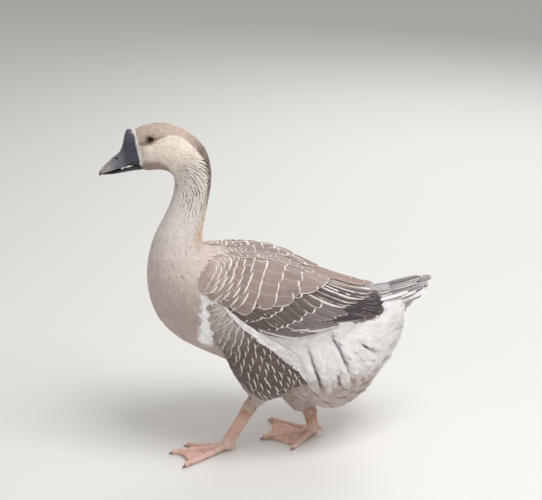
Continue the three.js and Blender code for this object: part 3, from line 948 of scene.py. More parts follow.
def joinLeaves(name, leaf, points, patches, patchSize, colours, rims, material, mirrored=False):
    # One mesh out of many leaves: points are leaf by leaf, patches, colours and rims one for each leaf. The
    # Vane map runs across and along each leaf, and OFBake gives each a small patch beside its neighbours'.
    count, each = points.shape[:2]
    mesh = bpy.data.meshes.new(name)
    mesh.vertices.add(count * each)
    mesh.vertices.foreach_set("co", points.astype(np.float32).ravel())
    loops = (leaf["loops"][None] + (np.arange(count) * each)[:, None]).ravel()
    mesh.loops.add(len(loops))
    mesh.loops.foreach_set("vertex_index", loops)
    starts = (leaf["starts"][None] + (np.arange(count) * len(leaf["loops"]))[:, None]).ravel()
    mesh.polygons.add(len(starts))
    mesh.polygons.foreach_set("loop_start", starts)
    mesh.update(calc_edges=True)
    along = leaf["along"][leaf["row"]]
    across = -leaf["across"] if mirrored else leaf["across"]
    vane = np.stack([across / 2 + 0.5, along], axis=1)
    vaneMap = mesh.uv_layers.new(name="Vane")
    vaneMap.data.foreach_set("uv", np.tile(vane[leaf["loops"]], (count, 1)).astype(np.float32).ravel())
    spots = patches[:, None] + (vane - 0.5)[None] * np.array(patchSize)
    bake = mesh.uv_layers.new(name="OFBake")
    bake.data.foreach_set("uv", spots[:, leaf["loops"]].astype(np.float32).ravel())
    # painted shade, darker towards each leaf's quill
    shade = (0.80 + 0.20 * ramp(along, 0.0, 0.5))[None, :, None]  # a little darker at the quill
    paint = np.ones((count, each, 4), dtype=np.float32)
    paint[:, :, :3] = colours[:, None] * shade
    mesh.attributes.new("mark", "FLOAT_COLOR", "POINT").data.foreach_set("color", paint.ravel())
    borders = np.repeat(rims[:, None], each, axis=1).astype(np.float32)
    mesh.attributes.new("rims", "FLOAT_COLOR", "POINT").data.foreach_set("color", borders.ravel())
    piece = bpy.data.objects.new(name, mesh)
    bpy.context.collection.objects.link(piece)
    pickOnly(piece)
    bpy.ops.object.shade_smooth_by_angle(angle=math.radians(50))
    dress(piece, material)
    finishPiece(piece)
    print(name, count, "leaves,", count * leaf["triangles"], "triangles")
    return piece


def rimValues(strength, lowEdge, width, breadths, lengths, chance):
    # how much of pale rim there is all round and on the low edge, and its share of breadth and length
    count = len(breadths)
    vary = chance.uniform(0.7, 1.25, count) * width * mm
    return np.stack([strength * chance.uniform(0.75, 1, count), lowEdge * chance.uniform(0.7, 1, count),
                     np.clip(vary / (breadths / 2), 0, 0.6), np.clip(vary * 1.2 / lengths, 0, 0.3)], axis=1)


# Body coat: spacing of the leaves, their size and how high root and tip lie over the skin, all in mm
coatForm = {
    "head": {"gap": 2.1, "length": 6.5, "breadth": 3.2, "low": 0.4, "high": 1.3, "thick": 0.2},
    "neck": {"gap": 3.0, "length": 11, "breadth": 4.6, "low": 1.3, "high": 2.9, "thick": 0.25},
    "breast": {"gap": 4.3, "length": 19, "breadth": 8.0, "low": 2.1, "high": 3.7, "thick": 0.25},
    "back": {"gap": 5.6, "length": 24, "breadth": 11, "low": 2.0, "high": 4.4, "thick": 0.3},
    "belly": {"gap": 5.2, "length": 27, "breadth": 10, "low": 2.2, "high": 4.7, "thick": 0.3},
    "seed": 7,
    "tries": 7,  # places that are tried for each leaf that is wanted
    "wander": 9,  # degrees that a leaf may turn from the lie
    "steep": 0.55,  # the flank's large feathers leave bare what faces sideways more than this
    "bareBack": {"degrees": 24, "x": (-0.070, 0.130), "above": 0.25},  # the back's large feathers cover it
    "besideEye": {"reach": 16 * mm, "degrees": 17},  # no leaf roots this near to the lids
    "billLine": -0.2475,  # nor ahead of this x
    "loose": {"share": 0.10, "below": 22, "lift": 1.55},  # belly feathers that stand off, below the wing
}


def coatSizes(points, spineData):
    along, turn, _ = spineData
    angle = np.degrees(turn)
    head = headShare(points)
    neck = ramp(-along, -0.25, -0.17)
    back = ramp(along, 0.25, 0.31) * ramp(-angle, -80, -50)
    belly = np.maximum(ramp(points[:, 0], -0.02, 0.05) * ramp(angle, 50, 80), ramp(points[:, 0], 0.15, 0.19))
    sizes = {}
    for key in ("gap", "length", "breadth", "low", "high", "thick"):
        value = np.full(len(points), float(coatForm["breast"][key]))
        for zone, share in (("back", back), ("belly", belly), ("neck", neck), ("head", head)):
            value += (coatForm[zone][key] - value) * share
        sizes[key] = value * mm
    return sizes


def scatterRoots(chance):
    # random places on the skin, thinned so that neighbours keep their spacing
    a, b, c = (ground["points"][ground["corners"][:, k]] for k in range(3))
    middles = (a + b + c) / 3
    areas = np.linalg.norm(np.cross(b - a, c - a), axis=1) / 2
    spineData = alongSpine(middles)
    gaps = coatSizes(middles, spineData)["gap"]
    weights = areas / gaps ** 2
    weights[wingShare(middles) > 0.9] = 0
    sideways = np.abs(np.cross(b - a, c - a)[:, 1]) / (2 * areas)
    weights[(flankShare(middles) > 0.9) & (sideways > coatForm["steep"])] = 0
    bare = coatForm["bareBack"]
    overBack = (roundTrunk(middles) < bare["degrees"]) & (middles[:, 2] > bare["above"])
    overBack &= (middles[:, 0] > bare["x"][0]) & (middles[:, 0] < bare["x"][1])
    weights[overBack] = 0
    total = int(weights.sum() * coatForm["tries"])
    faces = chance.choice(len(areas), size=total, p=weights / weights.sum())
    s, t = np.sqrt(chance.random(total)), chance.random(total)
    places = a[faces] * (1 - s)[:, None] + b[faces] * (s * (1 - t))[:, None] + c[faces] * (s * t)[:, None]
    gaps = gaps[faces]
    tree = KDTree(total)
    for index, place in enumerate(places.tolist()):
        tree.insert(place, index)
    tree.balance()
    free = np.ones(total, dtype=bool)
    kept = []
    for index, (place, gap) in enumerate(zip(places.tolist(), gaps.tolist())):
        if free[index]:
            kept.append(index)
            for _, other, _ in tree.find_range(place, gap):
                free[other] = False
    kept = np.array(kept)
    return places[kept], groundNormals(places[kept], faces[kept])


def turnAbout(ways, axes, angles):
    cos, sin = np.cos(angles)[:, None], np.sin(angles)[:, None]
    return ways * cos + np.cross(axes, ways) * sin + axes * (axes * ways).sum(1, keepdims=True) * (1 - cos)


def flatten(ways, normals):
    return unit(ways - normals * (ways * normals).sum(-1, keepdims=True))


def layCoat(leaf, roots, normals, ways, sizes):
    # follow the skin row by row, then spread each leaf's corners over its rows
    rows = leaf["along"]
    centres, ups, heads = [roots], [normals], [flatten(ways, normals)]
    for before, after in zip(rows, rows[1:]):
        step = centres[-1] + heads[-1] * (sizes["length"] * (after - before))[:, None]
        place, up = touchGround(step)
        centres.append(place)
        ups.append(up)
        heads.append(flatten(heads[-1], up))
    centres, ups, heads = (np.stack(part, axis=1) for part in (centres, ups, heads))
    sides = np.cross(heads, ups)
    row, across, thick = leaf["row"], leaf["across"], leaf["thick"]
    along = rows[row][None]
    half = sizes["breadth"][:, None] / 2
    lift = sizes["low"][:, None] + (sizes["high"] - sizes["low"])[:, None] * along ** 0.9
    lift = lift + sizes["thick"][:, None] * (thick * (1 - 0.5 * along)) - half * 0.10 * across ** 2
    spread = (leaf["breadth"] * across)[None] * half
    return centres[:, row] + sides[:, row] * spread[..., None] + ups[:, row] * lift[..., None]


def cutAwayPlaces(roots):
    # nothing grows on the eyeballs or under the bill's rim
    keep = np.ones(len(roots), dtype=bool)
    beside = coatForm["besideEye"]
    for side in (1, -1):
        centre, looks = eyePlace(side)
        arms = roots - centre
        reach = np.linalg.norm(arms, axis=1)
        turn = np.degrees(np.arccos(np.clip((arms / reach[:, None]) @ looks, -1, 1)))
        keep &= ~((reach < beside["reach"]) & (turn < eyes["opening"] + beside["degrees"]))
    return keep & (roots[:, 0] > coatForm["billLine"])


def coatZones(roots, along, turn):
    # which leaves belong to which piece
    angle = np.degrees(turn)
    onBody = along >= 0.25
    return {
        "coat_head": along < 0.10,
        "coat_neck_upper": (along >= 0.10) & (along < 0.175),
        "coat_neck_lower": (along >= 0.175) & (along < 0.25),
        "coat_breast": onBody & (roots[:, 0] < -0.02) & (angle > 50),
        "coat_back": onBody & (angle <= 50),
        "coat_belly": onBody & (roots[:, 0] >= -0.02) & (angle > 50),
    }


def growCoat():
    chance = np.random.default_rng(coatForm["seed"])
    roots, normals = scatterRoots(chance)
    keep = cutAwayPlaces(roots)
    roots, normals = roots[keep], normals[keep]
    spineData = alongSpine(roots)
    along, turn, ways = spineData
    wander = np.radians(coatForm["wander"]) * chance.normal(size=len(roots)).clip(-2, 2) * 0.6
    ways = flatten(ways, normals)
    # on the neck the leaves are drawn onto the ridges and lie along them
    ridged = furrowShare(roots, along, turn)
    around = -np.sign(roots[:, 1:2]) * np.cross(ways, normals)
    phase = furrowPhase(roots, along, turn)
    offRidge = phase - np.floor(phase) - 0.5
    drawn = furrows["gather"] * furrows["gap"] * offRidge * ridged
    roots, normals = touchGround(roots - around * drawn[:, None])
    slope = -2 * furrows["lean"] * np.clip(furrows["straightFrom"] - along, 0, None)
    onNeck = ramp(along, 0.075, 0.095)
    ways = unit(ways + around * np.clip(slope * onNeck, -1, 0)[:, None])
    ways = turnAbout(flatten(ways, normals), normals, wander * (1 - 0.8 * ridged))
    sizes = coatSizes(roots, spineData)
    # on the belly's sides they hang down, and away from the partings
    hanging = ramp(roots[:, 0], 0.0, 0.04) * ramp(-roots[:, 0], -0.185, -0.14)
    hanging = hanging * ramp(-roots[:, 2], -0.285, -0.255)
    hanging = hanging * ramp(roots[:, 2], 0.140, 0.170) * ramp(np.abs(roots[:, 1]), 0.04, 0.06)
    ways = unit(ways + hanging[:, None] * 1.1 * np.array([0.45, 0, -0.9]))
    for parting in partings:
        off, share, way = besideParting(roots, parting)
        near = share * np.exp(-(off / (22 * mm)) ** 2)
        ways = unit(ways + near[:, None] * 1.4 * np.array([way[0], 0, way[1]]))
        clear = np.maximum(6.5 * mm - 0.5 * np.abs(off), 0) * np.where(off < 0, -1, 1) * share
        roots = roots + clear[:, None] * np.array([way[1], 0, -way[0]])
    roots, normals = touchGround(roots)
    ways = flatten(ways, normals)
    sizes["breadth"] = sizes["breadth"] * (1 - 0.40 * ridged)
    sizes["length"] = sizes["length"] * (1 + 0.35 * ridged)
    sizes["high"] = sizes["high"] + 0.5 * mm * ridged
    sizes["length"] = sizes["length"] * chance.uniform(0.85, 1.15, size=len(roots))
    sizes["high"] = sizes["high"] * chance.uniform(0.93, 1.0, size=len(roots))
    ends, _ = touchGround(roots + ways * (sizes["length"] * 0.6)[:, None])
    colours = markings(ends) * chance.uniform(0.93, 1.05, size=len(roots))[:, None]
    rims = rimValues(0.3, 0.0, 0.6, sizes["breadth"], sizes["length"], chance)
    # longer round the tail, flatter on the rump, and a few belly feathers stand off
    tailward = ramp(roots[:, 0], 0.17, 0.21)
    sizes["length"] = sizes["length"] * (1 + 0.3 * tailward)
    overRump = ramp(roots[:, 0], 0.13, 0.18) * ramp(-np.degrees(turn), -60, -30)
    sizes["low"] = sizes["low"] * (1 - 0.6 * overRump)
    sizes["high"] = sizes["high"] * (1 - 0.5 * overRump)
    zones = coatZones(roots, along, turn)
    wingFoot = np.interp(roots[:, 0], wingEdge["x"], wingEdge["foot"])
    standOff = coatForm["loose"]
    loose = zones["coat_belly"] & (chance.random(len(roots)) < standOff["share"])
    loose &= roundTrunk(roots) > wingFoot + standOff["below"]
    sizes["high"] = sizes["high"] * np.where(loose, standOff["lift"], 1.0)
    turns = turn * np.sign(roots[:, 1]) / (2 * np.pi) + 0.5
    for name, inside in zones.items():
        leaf = leaves["fluff" if name == "coat_head" else "contour"]
        part = {key: value[inside] for key, value in sizes.items()}
        points = layCoat(leaf, roots[inside], normals[inside], ways[inside], part)
        points = points + normals[inside][:, None] * relief(roots[inside])[:, None, None]
        reachAlong = (along[inside] - along[inside].min()) / np.ptp(along[inside])
        patches = np.stack([0.01 + 0.98 * reachAlong, 0.01 + 0.98 * turns[inside]], axis=1)
        joinLeaves(name, leaf, points, patches, (0.003, 0.003), colours[inside], rims[inside],
                   finishes["featherDown"])


growCoat()

# Large feathers. Each row has the line of its roots and of its tips, its leaf and count, its breadth from
# the first feather to the last, how high root and tip lie over the skin, its rims (how much all round, how
# much on the low edge, how wide) and its colour, with sizes in mm. The wing's chart is x in metres and the
# angle round the trunk; the first end is the low or front one.
wingRows = {
    "primaries": {
        "roots": [(0.010, 87), (0.035, 60), (0.060, 34)],
        "tips": [(0.152, 59), (0.170, 54), (0.184, 48), (0.195, 41), (0.202, 34), (0.206, 26), (0.207, 17)],
        "leaf": "quill", "count": 13, "breadth": (20, 22), "lift": (1.6, 3.6),
        "rims": (0.0, 0.6, 0.7), "colour": "primary",
    },
    "secondaries": {
        "roots": [(-0.085, 92), (-0.045, 78), (0.030, 58)],
        "tips": [(-0.018, 106), (0.002, 103), (0.030, 94), (0.064, 82), (0.098, 71), (0.130, 60)],
        "leaf": "quill", "count": 16, "breadth": (20, 22), "lift": (2.4, 4.8),
        "rims": (0.6, 0.95, 1.2), "colour": "secondary",
    },
    "edge": {
        "roots": [(-0.052, 104), (-0.018, 100), (0.012, 92)],
        "tips": [(0.026, 100), (0.076, 86), (0.116, 73)],
        "leaf": "quill", "count": 4, "breadth": (15, 15), "lift": (5.0, 7.6),
        "rims": (0.0, 1.0, 4.2), "colour": "secondary",
    },
    "tertials": {
        "roots": [(0.000, 52), (0.020, 38), (0.035, 22)],
        "tips": [(0.120, 56), (0.140, 45), (0.160, 35), (0.180, 25), (0.192, 12)],
        "leaf": "quill", "count": 6, "breadth": (22, 28), "lift": (3.2, 4.6),
        "rims": (0.15, 1.0, 4.2), "colour": "tertial",
    },
    "crossing": {  # the right wing's innermost quills, whose tips show over the rump
        "roots": [(0.050, 30), (0.062, 22), (0.075, 14)],
        "tips": [(0.146, 16), (0.172, 12), (0.197, 7)],
        "leaf": "quill", "count": 4, "breadth": (20, 20), "lift": (3.0, 11.0),
        "rims": (0.4, 1.0, 1.8), "colour": "crossing", "only": 1,
    },
    "ridge": {
        "roots": [(-0.094, 34), (-0.062, 28), (-0.026, 27), (0.010, 22)],
        "tips": [(-0.044, 29), (-0.008, 30), (0.032, 24), (0.072, 15)],
        "leaf": "covert", "count": 5, "breadth": (20, 20), "lift": (4.6, 7.8),
        "rims": (1.0, 1.0, 2.4), "colour": "scapular",
    },
    "greater": {
        "roots": [(-0.092, 92), (-0.062, 84), (-0.014, 68), (0.020, 46)],
        "tips": [(-0.040, 105), (-0.008, 95), (0.032, 82), (0.080, 60)],
        "leaf": "covert", "count": 11, "breadth": (26, 27), "lift": (2.6, 5.0),
        "rims": (1.0, 0.6, 1.5), "colour": "covert",
    },
    "median": {
        "roots": [(-0.112, 88), (-0.088, 84), (-0.038, 64), (0.010, 38)],
        "tips": [(-0.066, 99), (-0.030, 88), (0.010, 72), (0.062, 44)],
        "leaf": "covert", "count": 11, "breadth": (26, 29), "lift": (2.2, 5.2),
        "rims": (1.0, 0.5, 1.6), "colour": "covert",
    },
    "lesser": {
        "roots": [(-0.124, 82), (-0.096, 74), (-0.056, 58), (0.000, 32)],
        "tips": [(-0.088, 91), (-0.054, 84), (-0.012, 68), (0.050, 38)],
        "leaf": "covert", "count": 10, "breadth": (26, 30), "lift": (2.5, 5.5),
        "rims": (1.0, 0.5, 1.7), "colour": "covert",
    },
}

# Patches of shingled rows lie between two side lines, foot and top, from the first row to the last. Across is
# how many feathers the first and the last row have, grow how much deeper the last row is, reach how many rows
# deep a feather is, fill its breadth over its share of the row, and stray how far each one is off its place.
shoulderPatch = {
    "foot": [(-0.142, 76), (-0.122, 85), (-0.100, 88), (-0.074, 87), (-0.040, 80), (0.015, 66), (0.070, 44)],
    "top": [(-0.120, 50), (-0.090, 31), (-0.060, 23), (-0.032, 20), (0.003, 21), (0.048, 25), (0.098, 29)],
    "leaf": "covert", "rows": 11, "across": (8, 4), "grow": 2.6, "reach": 2.5, "fill": 2.5,
    "slant": 0.14, "stray": 0.12, "lift": (4.2, 7.4), "rims": (1.0, 0.5, 1.5), "colour": "scapular",
    "frontColour": "scapularFront", "frontFade": (-0.42, -0.05), "rimsFull": 0.22,
    "sink": 3.4,  # how much nearer to the skin the first rows lie (mm)
}

# The back's chart runs over the top from one wing to the other; the flank's is x and z seen along Y.
backPatch = {
    "foot": [(-0.106, 32), (-0.085, 28), (-0.050, 24), (0.010, 24), (0.070, 27), (0.150, 20)],
    "top": [(-0.106, -32), (-0.085, -28), (-0.050, -24), (0.010, -24), (0.070, -27), (0.150, -20)],
    "leaf": "covert", "rows": 17, "across": (11, 4), "grow": 2.4, "reach": 2.3, "fill": 1.7,
    "slant": 0.0, "stray": 0.25, "lift": (1.2, 5.0), "rims": (0.85, 0.0, 1.2), "colour": "backFeather",
    "frontColour": "backFront", "frontFade": (-0.30, 0.0),
}

# The flank's rows run down the band. A feather that leaps farther than "leap" from row to row of its mesh,
# or whose normal's or place's y falls under "turn" or "middle", has run off the side of the body: it is
# shortened, or left out.
flankPatch = {
    "foot": flankEdge["front"], "top": flankEdge["rear"],
    "leaf": "covert", "rows": 7, "count": 13, "firstTip": 0.13, "lastTip": 1.03, "reach": (0.42, 0.085),
    "fill": 1.65, "stray": 0.18, "bow": 0.05, "lift": (1.4, 5.2), "rims": (1.0, 0.7, 1.15),
    "colour": "flank", "frontColour": "flankFront", "frontFade": (-0.48, -0.10),
    "leap": 0.022, "turn": 0.22, "middle": 0.045, "shorten": 0.7,
}

# the white band behind the flank, and its width from the shoulder down (mm)
bandWidths = (3, 5, 9, 13, 16, 16, 14)
borderPatch = {
    "foot": [(x + 0.001, z + 0.001) for x, z in flankEdge["rear"]],
    "top": [(x + 0.001 + 0.67 * wide * mm, z + 0.001 + 0.74 * wide * mm)
            for (x, z), wide in zip(flankEdge["rear"], bandWidths)],
    "leaf": "quill", "rows": 24, "across": (2, 2), "grow": 1.4, "reach": 4.6, "fill": 1.1,
    "slant": 0.10, "stray": 0.30, "lift": (2.8, 6.4), "rims": (0.3, 0.0, 1.0), "colour": "white",
}


def alongLine(line, shares):
    line = np.array(line, dtype=float)
    stops = np.linspace(0, 1, len(line))
    shares = np.asarray(shares, dtype=float)
    inner = np.clip(shares, 0, 1)
    values = np.stack([np.interp(inner, stops, line[:, k]) for k in (0, 1)], axis=-1)
    start = (line[1] - line[0]) * (len(line) - 1)
    return values + np.minimum(shares, 0)[..., None] * start


def wingPlaces(side, chart):
    x, angle = chart[:, 0], np.radians(chart[:, 1])
    out = np.stack([0 * x, side * np.sin(angle), np.cos(angle)], axis=1)
    start = np.stack([x, 0 * x, trunkAxis(x)], axis=1) + out * farOut
    return castOnGround(start, -out)


def flankPlaces(side, chart):
    x, z = chart.T
    start = np.stack([x, 0 * x + side * farOut, z], axis=1)
    return castOnGround(start, np.stack([0 * x, 0 * x - side, 0 * x], axis=1))


def layQuills(leaf, places, ups, breadths, lifts, tilt, thick):
    # the middle line is given row by row; each corner then settles on the skin below it
    smooth = places.copy()
    for _ in range(2):
        smooth[:, 1:-1] = (smooth[:, :-2] + 2 * smooth[:, 1:-1] + smooth[:, 2:]) / 4
    heads = unit(np.gradient(smooth, axis=1))
    sides = unit(np.cross(heads, ups))
    row, across = leaf["row"], leaf["across"]
    along = leaf["along"][row]
    half = breadths[:, None] / 2
    spread = (leaf["breadth"] * across)[None] * half
    aim = smooth[:, row] + sides[:, row] * spread[..., None]
    under, _ = touchGround(aim.reshape(-1, 3))
    drop = ((under.reshape(aim.shape) - aim) * ups[:, row]).sum(2)
    drop = np.clip(drop, -np.abs(spread) * 0.7 - 1.5 * mm, np.abs(spread) * 0.4 + 0.5 * mm)
    lift = lifts[0] + (lifts[1] - lifts[0]) * along ** 0.8
    lift = lift + tilt * across + leaf["thick"] * thick * (1 - 0.4 * along)
    bend = -0.05 * half * across[None] ** 2
    return aim + ups[:, row] * (drop + lift[None] * mm + bend)[..., None]


def chartRows(chart, side, roots, tips, rows):
    # points of each feather's middle line on the skin
    shares = np.array(rows)
    line = roots[:, None] + (tips - roots)[:, None] * shares[None, :, None]
    places, ups = chart(side, line.reshape(-1, 2))
    return places.reshape(len(roots), len(shares), 3), ups.reshape(len(roots), len(shares), 3)


def expandPatch(patch, chance):
    # the roots, tips and breadths of every feather of a patch, in its chart
    steps = patch["grow"] ** np.linspace(0, 1, patch["rows"])
    stops = np.cumsum(steps) / steps.sum()
    gaps = np.diff(np.concatenate([[0], stops]))
    roots, tips, breadthShares, order = [], [], [], []
    for number, (stop, gap) in enumerate(zip(stops, gaps)):
        count = round(patch["across"][0] + (patch["across"][1] - patch["across"][0]) * stop)
        shares = (np.arange(count) + 0.5 + 0.25 * (-1) ** number) / count
        shares = shares + chance.uniform(-patch["stray"], patch["stray"], count) / count
        strays = chance.uniform(-patch["stray"], patch["stray"], count) * gap
        for part, place, slant in ((tips, stop, 0.0), (roots, stop - gap * patch["reach"], patch["slant"])):
            foot, top = alongLine(patch["foot"], place + strays), alongLine(patch["top"], place + strays)
            part.append(foot + (top - foot) * (shares + slant * (1 - 0.5 * stop))[:, None])
        breadthShares += [patch["fill"] / count] * count
        order += [stop] * count
    return np.concatenate(roots), np.concatenate(tips), np.array(breadthShares), np.array(order)


def expandBand(patch, chance):
    # rows run along the band, from its front line to its rear one, and the feathers point back and down
    roots, tips, breadthShares, order = [], [], [], []
    for number, across in enumerate(np.linspace(patch["firstTip"], patch["lastTip"], patch["rows"])):
        shares = (np.arange(patch["count"]) + 0.6 + 0.5 * (number % 2)) / (patch["count"] + 0.6)
        shares = shares + chance.uniform(-patch["stray"], patch["stray"], len(shares)) / patch["count"]
        shares = shares + patch["bow"] * (across - 0.5)
        spots = across + chance.uniform(-0.03, 0.03, len(shares))
        for part, place, spot in ((tips, shares, spots),
                                  (roots, shares - patch["reach"][1], spots - patch["reach"][0])):
            foot, top = alongLine(patch["foot"], place), alongLine(patch["top"], place)
            part.append(foot + (top - foot) * spot[:, None])
        breadthShares += [patch["fill"]] * len(shares)
        order += shares.tolist()
    return np.concatenate(roots), np.concatenate(tips), np.array(breadthShares), np.array(order)


def growRows(rows, side, seed):
    chance = np.random.default_rng(seed)
    leaf = leaves[rows["leaf"]]
    shares = (np.arange(rows["count"]) + 0.5) / rows["count"]
    shares = shares + chance.uniform(-0.25, 0.25, len(shares)) / rows["count"]
    roots, tips = alongLine(rows["roots"], shares), alongLine(rows["tips"], shares)
    tips = tips + chance.normal(size=tips.shape) * (0.0012, 0.6)
    breadths = (rows["breadth"][0] + (rows["breadth"][1] - rows["breadth"][0]) * shares) * mm
    places, ups = chartRows(wingPlaces, side, roots, tips, leaf["along"])
    points = layQuills(leaf, places, ups, breadths, rows["lift"], -0.7 * side, 0.30)
    tint = linear(coatColours[rows["colour"]]) * chance.uniform(0.86, 1.12, len(shares))[:, None]
    lengths = np.linalg.norm(places[:, -1] - places[:, 0], axis=1)
    rims = rimValues(*rows["rims"], breadths, lengths, chance)
    return leaf, points, tint, rims, roots


def staysOn(patch, side, places, ups):
    # true for each feather whose middle line stays on this side of the body
    leaps = np.linalg.norm(np.diff(places, axis=1), axis=2).max(1)
    outward = (side * ups[:, :, 1]).min(1) > patch["turn"]
    return (leaps < patch["leap"]) & outward & ((side * places[:, :, 1]).min(1) > patch["middle"])


def patchTints(patch, order):
    # one colour for each feather, that of the first rows fading into the patch's own
    base = linear(coatColours[patch["colour"]])
    if "frontColour" not in patch:
        return np.tile(base, (len(order), 1))
    front = linear(coatColours[patch["frontColour"]])
    return blend(base, front, ramp(-order, *patch["frontFade"]))


def growPatch(patch, chart, side, seed, expand=expandPatch):
    chance = np.random.default_rng(seed)
    leaf = leaves[patch["leaf"]]
    roots, tips, breadthShares, order = expand(patch, chance)
    places, ups = chartRows(chart, side, roots, tips, leaf["along"])
    if expand is expandBand:
        near = staysOn(patch, side, places, ups)
        for _ in range(3):
            roots = np.where(near[:, None], roots, tips + (roots - tips) * patch["shorten"])
            places, ups = chartRows(chart, side, roots, tips, leaf["along"])
            near = staysOn(patch, side, places, ups)
        places, ups, roots = places[near], ups[near], roots[near]
        breadthShares, order = breadthShares[near], order[near]
        line = np.array(patch["foot"])
        spans = np.linalg.norm(np.diff(line, axis=0), axis=1).sum() / patch["count"] * (0.7 + 0.5 * order)
    else:
        feet, _ = chart(side, alongLine(patch["foot"], order))
        tops, _ = chart(side, alongLine(patch["top"], order))
        spans = np.linalg.norm(tops - feet, axis=1) * 1.08
    breadths = spans * breadthShares * chance.uniform(0.92, 1.08, len(order))
    points = layQuills(leaf, places, ups, breadths, patch["lift"], -0.3 * side, 0.30)
    sink = patch.get("sink", 0) * mm * ramp(-order, -0.14, -0.01)
    points = points - ups[:, leaf["row"]] * sink[:, None, None]
    tint = patchTints(patch, order) * chance.uniform(0.86, 1.12, len(order))[:, None]
    lengths = np.linalg.norm(places[:, -1] - places[:, 0], axis=1)
    rims = rimValues(*patch["rims"], breadths, lengths, chance)
    rims[:, :2] *= (0.35 + 0.65 * ramp(order, 0.0, patch.get("rimsFull", 0.01)))[:, None]
    return leaf, points, tint, rims, roots


def chartPatches(roots):
    low, high = roots.min(0), roots.max(0)
    return 0.02 + 0.96 * (roots - low) / (high - low)


def gather(name, grown, size, material, mirrored=False):
    # several groups of one kind of leaf become one piece
    for kind in ("covert", "quill"):
        parts = [part for part in grown if part[0] is leaves[kind]]
        if not parts:
            continue
        points, tint, rims, roots = (np.concatenate([part[k] for part in parts]) for k in (1, 2, 3, 4))
        joinLeaves(name + "_" + kind + "s", leaves[kind], points, chartPatches(roots), size, tint, rims,
                   material, mirrored)


for sideName, side, seed in (("left", -1, 40), ("right", 1, 80)):
    grown = [growRows(rows, side, seed + k) for k, rows in enumerate(wingRows.values())
             if rows.get("only", side) == side]
    grown.append(growPatch(shoulderPatch, wingPlaces, side, seed + 9))
    gather("wing_" + sideName, grown, (0.006, 0.012), finishes["featherWing"], side > 0)
    grown = [growPatch(flankPatch, flankPlaces, side, seed + 10, expandBand),
             growPatch(borderPatch, flankPlaces, side, seed + 11)]
    gather("flank_" + sideName, grown, (0.012, 0.016), finishes["featherFlank"], side > 0)
grown = [growPatch(backPatch, wingPlaces, -1, 30)]
gather("back", grown, (0.012, 0.016), finishes["featherWing"])
print("wings, flanks and back done")

# Layers of tail feathers, the upper ones later. Root and tip are x and z of the middle feather. For each of
# the two, halves say how far out the outermost feather is, and drop how much lower than the middle one (mm).
tailLayers = [
    {"count": 5, "root": (0.192, 0.212), "tip": (0.243, 0.237), "halves": (20, 9), "drop": (-14, -6)},
    {"count": 6, "root": (0.198, 0.224), "tip": (0.252, 0.251), "halves": (22, 12), "drop": (-14, -8)},
    {"count": 7, "root": (0.203, 0.236), "tip": (0.261, 0.263), "halves": (24, 15), "drop": (-13, -9)},
    {"count": 8, "root": (0.206, 0.248), "tip": (0.270, 0.275), "halves": (26, 18), "drop": (-12, -10)},
    {"count": 9, "root": (0.208, 0.258), "tip": (0.279, 0.286), "halves": (28, 21), "drop": (-10, -10)},
    {"count": 10, "root": (0.210, 0.268), "tip": (0.288, 0.296), "halves": (29, 24), "drop": (-8, -9)},
    {"count": 11, "root": (0.212, 0.276), "tip": (0.297, 0.305), "halves": (30, 26), "drop": (-4, -7)},
    {"count": 12, "root": (0.212, 0.284), "tip": (0.305, 0.313), "halves": (28, 28), "drop": (0, -4)},
    {"count": 10, "root": (0.196, 0.296), "tip": (0.313, 0.328), "halves": (24, 34), "drop": (8, 3),
     "kind": "quill", "breadth": 18, "grey": 1.0, "spread": 0.03, "wedge": 0.34},
    {"count": 9, "root": (0.178, 0.300), "tip": (0.292, 0.328), "halves": (26, 32), "drop": (10, 6),
     "kind": "quill", "breadth": 17, "grey": 1.0, "spread": 0.08, "wedge": 0.28},
    {"count": 9, "root": (0.150, 0.302), "tip": (0.246, 0.316), "halves": (28, 30), "drop": (12, 8),
     "kind": "quill", "breadth": 18, "grey": 0.8, "spread": 0.20, "wedge": 0.10},
]

# what the layers of a kind have in common: how grey and rimmed they are, how uneven in length (spread) and in
# place (stray, mm), and how much shorter than the middle feather the outermost one is (wedge)
tailKinds = {
    "covert": {"breadth": 15, "grey": 0.0, "spread": 0.16, "rim": 0.0, "wedge": 0.04, "stray": 2.2},
    "quill": {"rim": 1.0, "stray": 0.5},
}


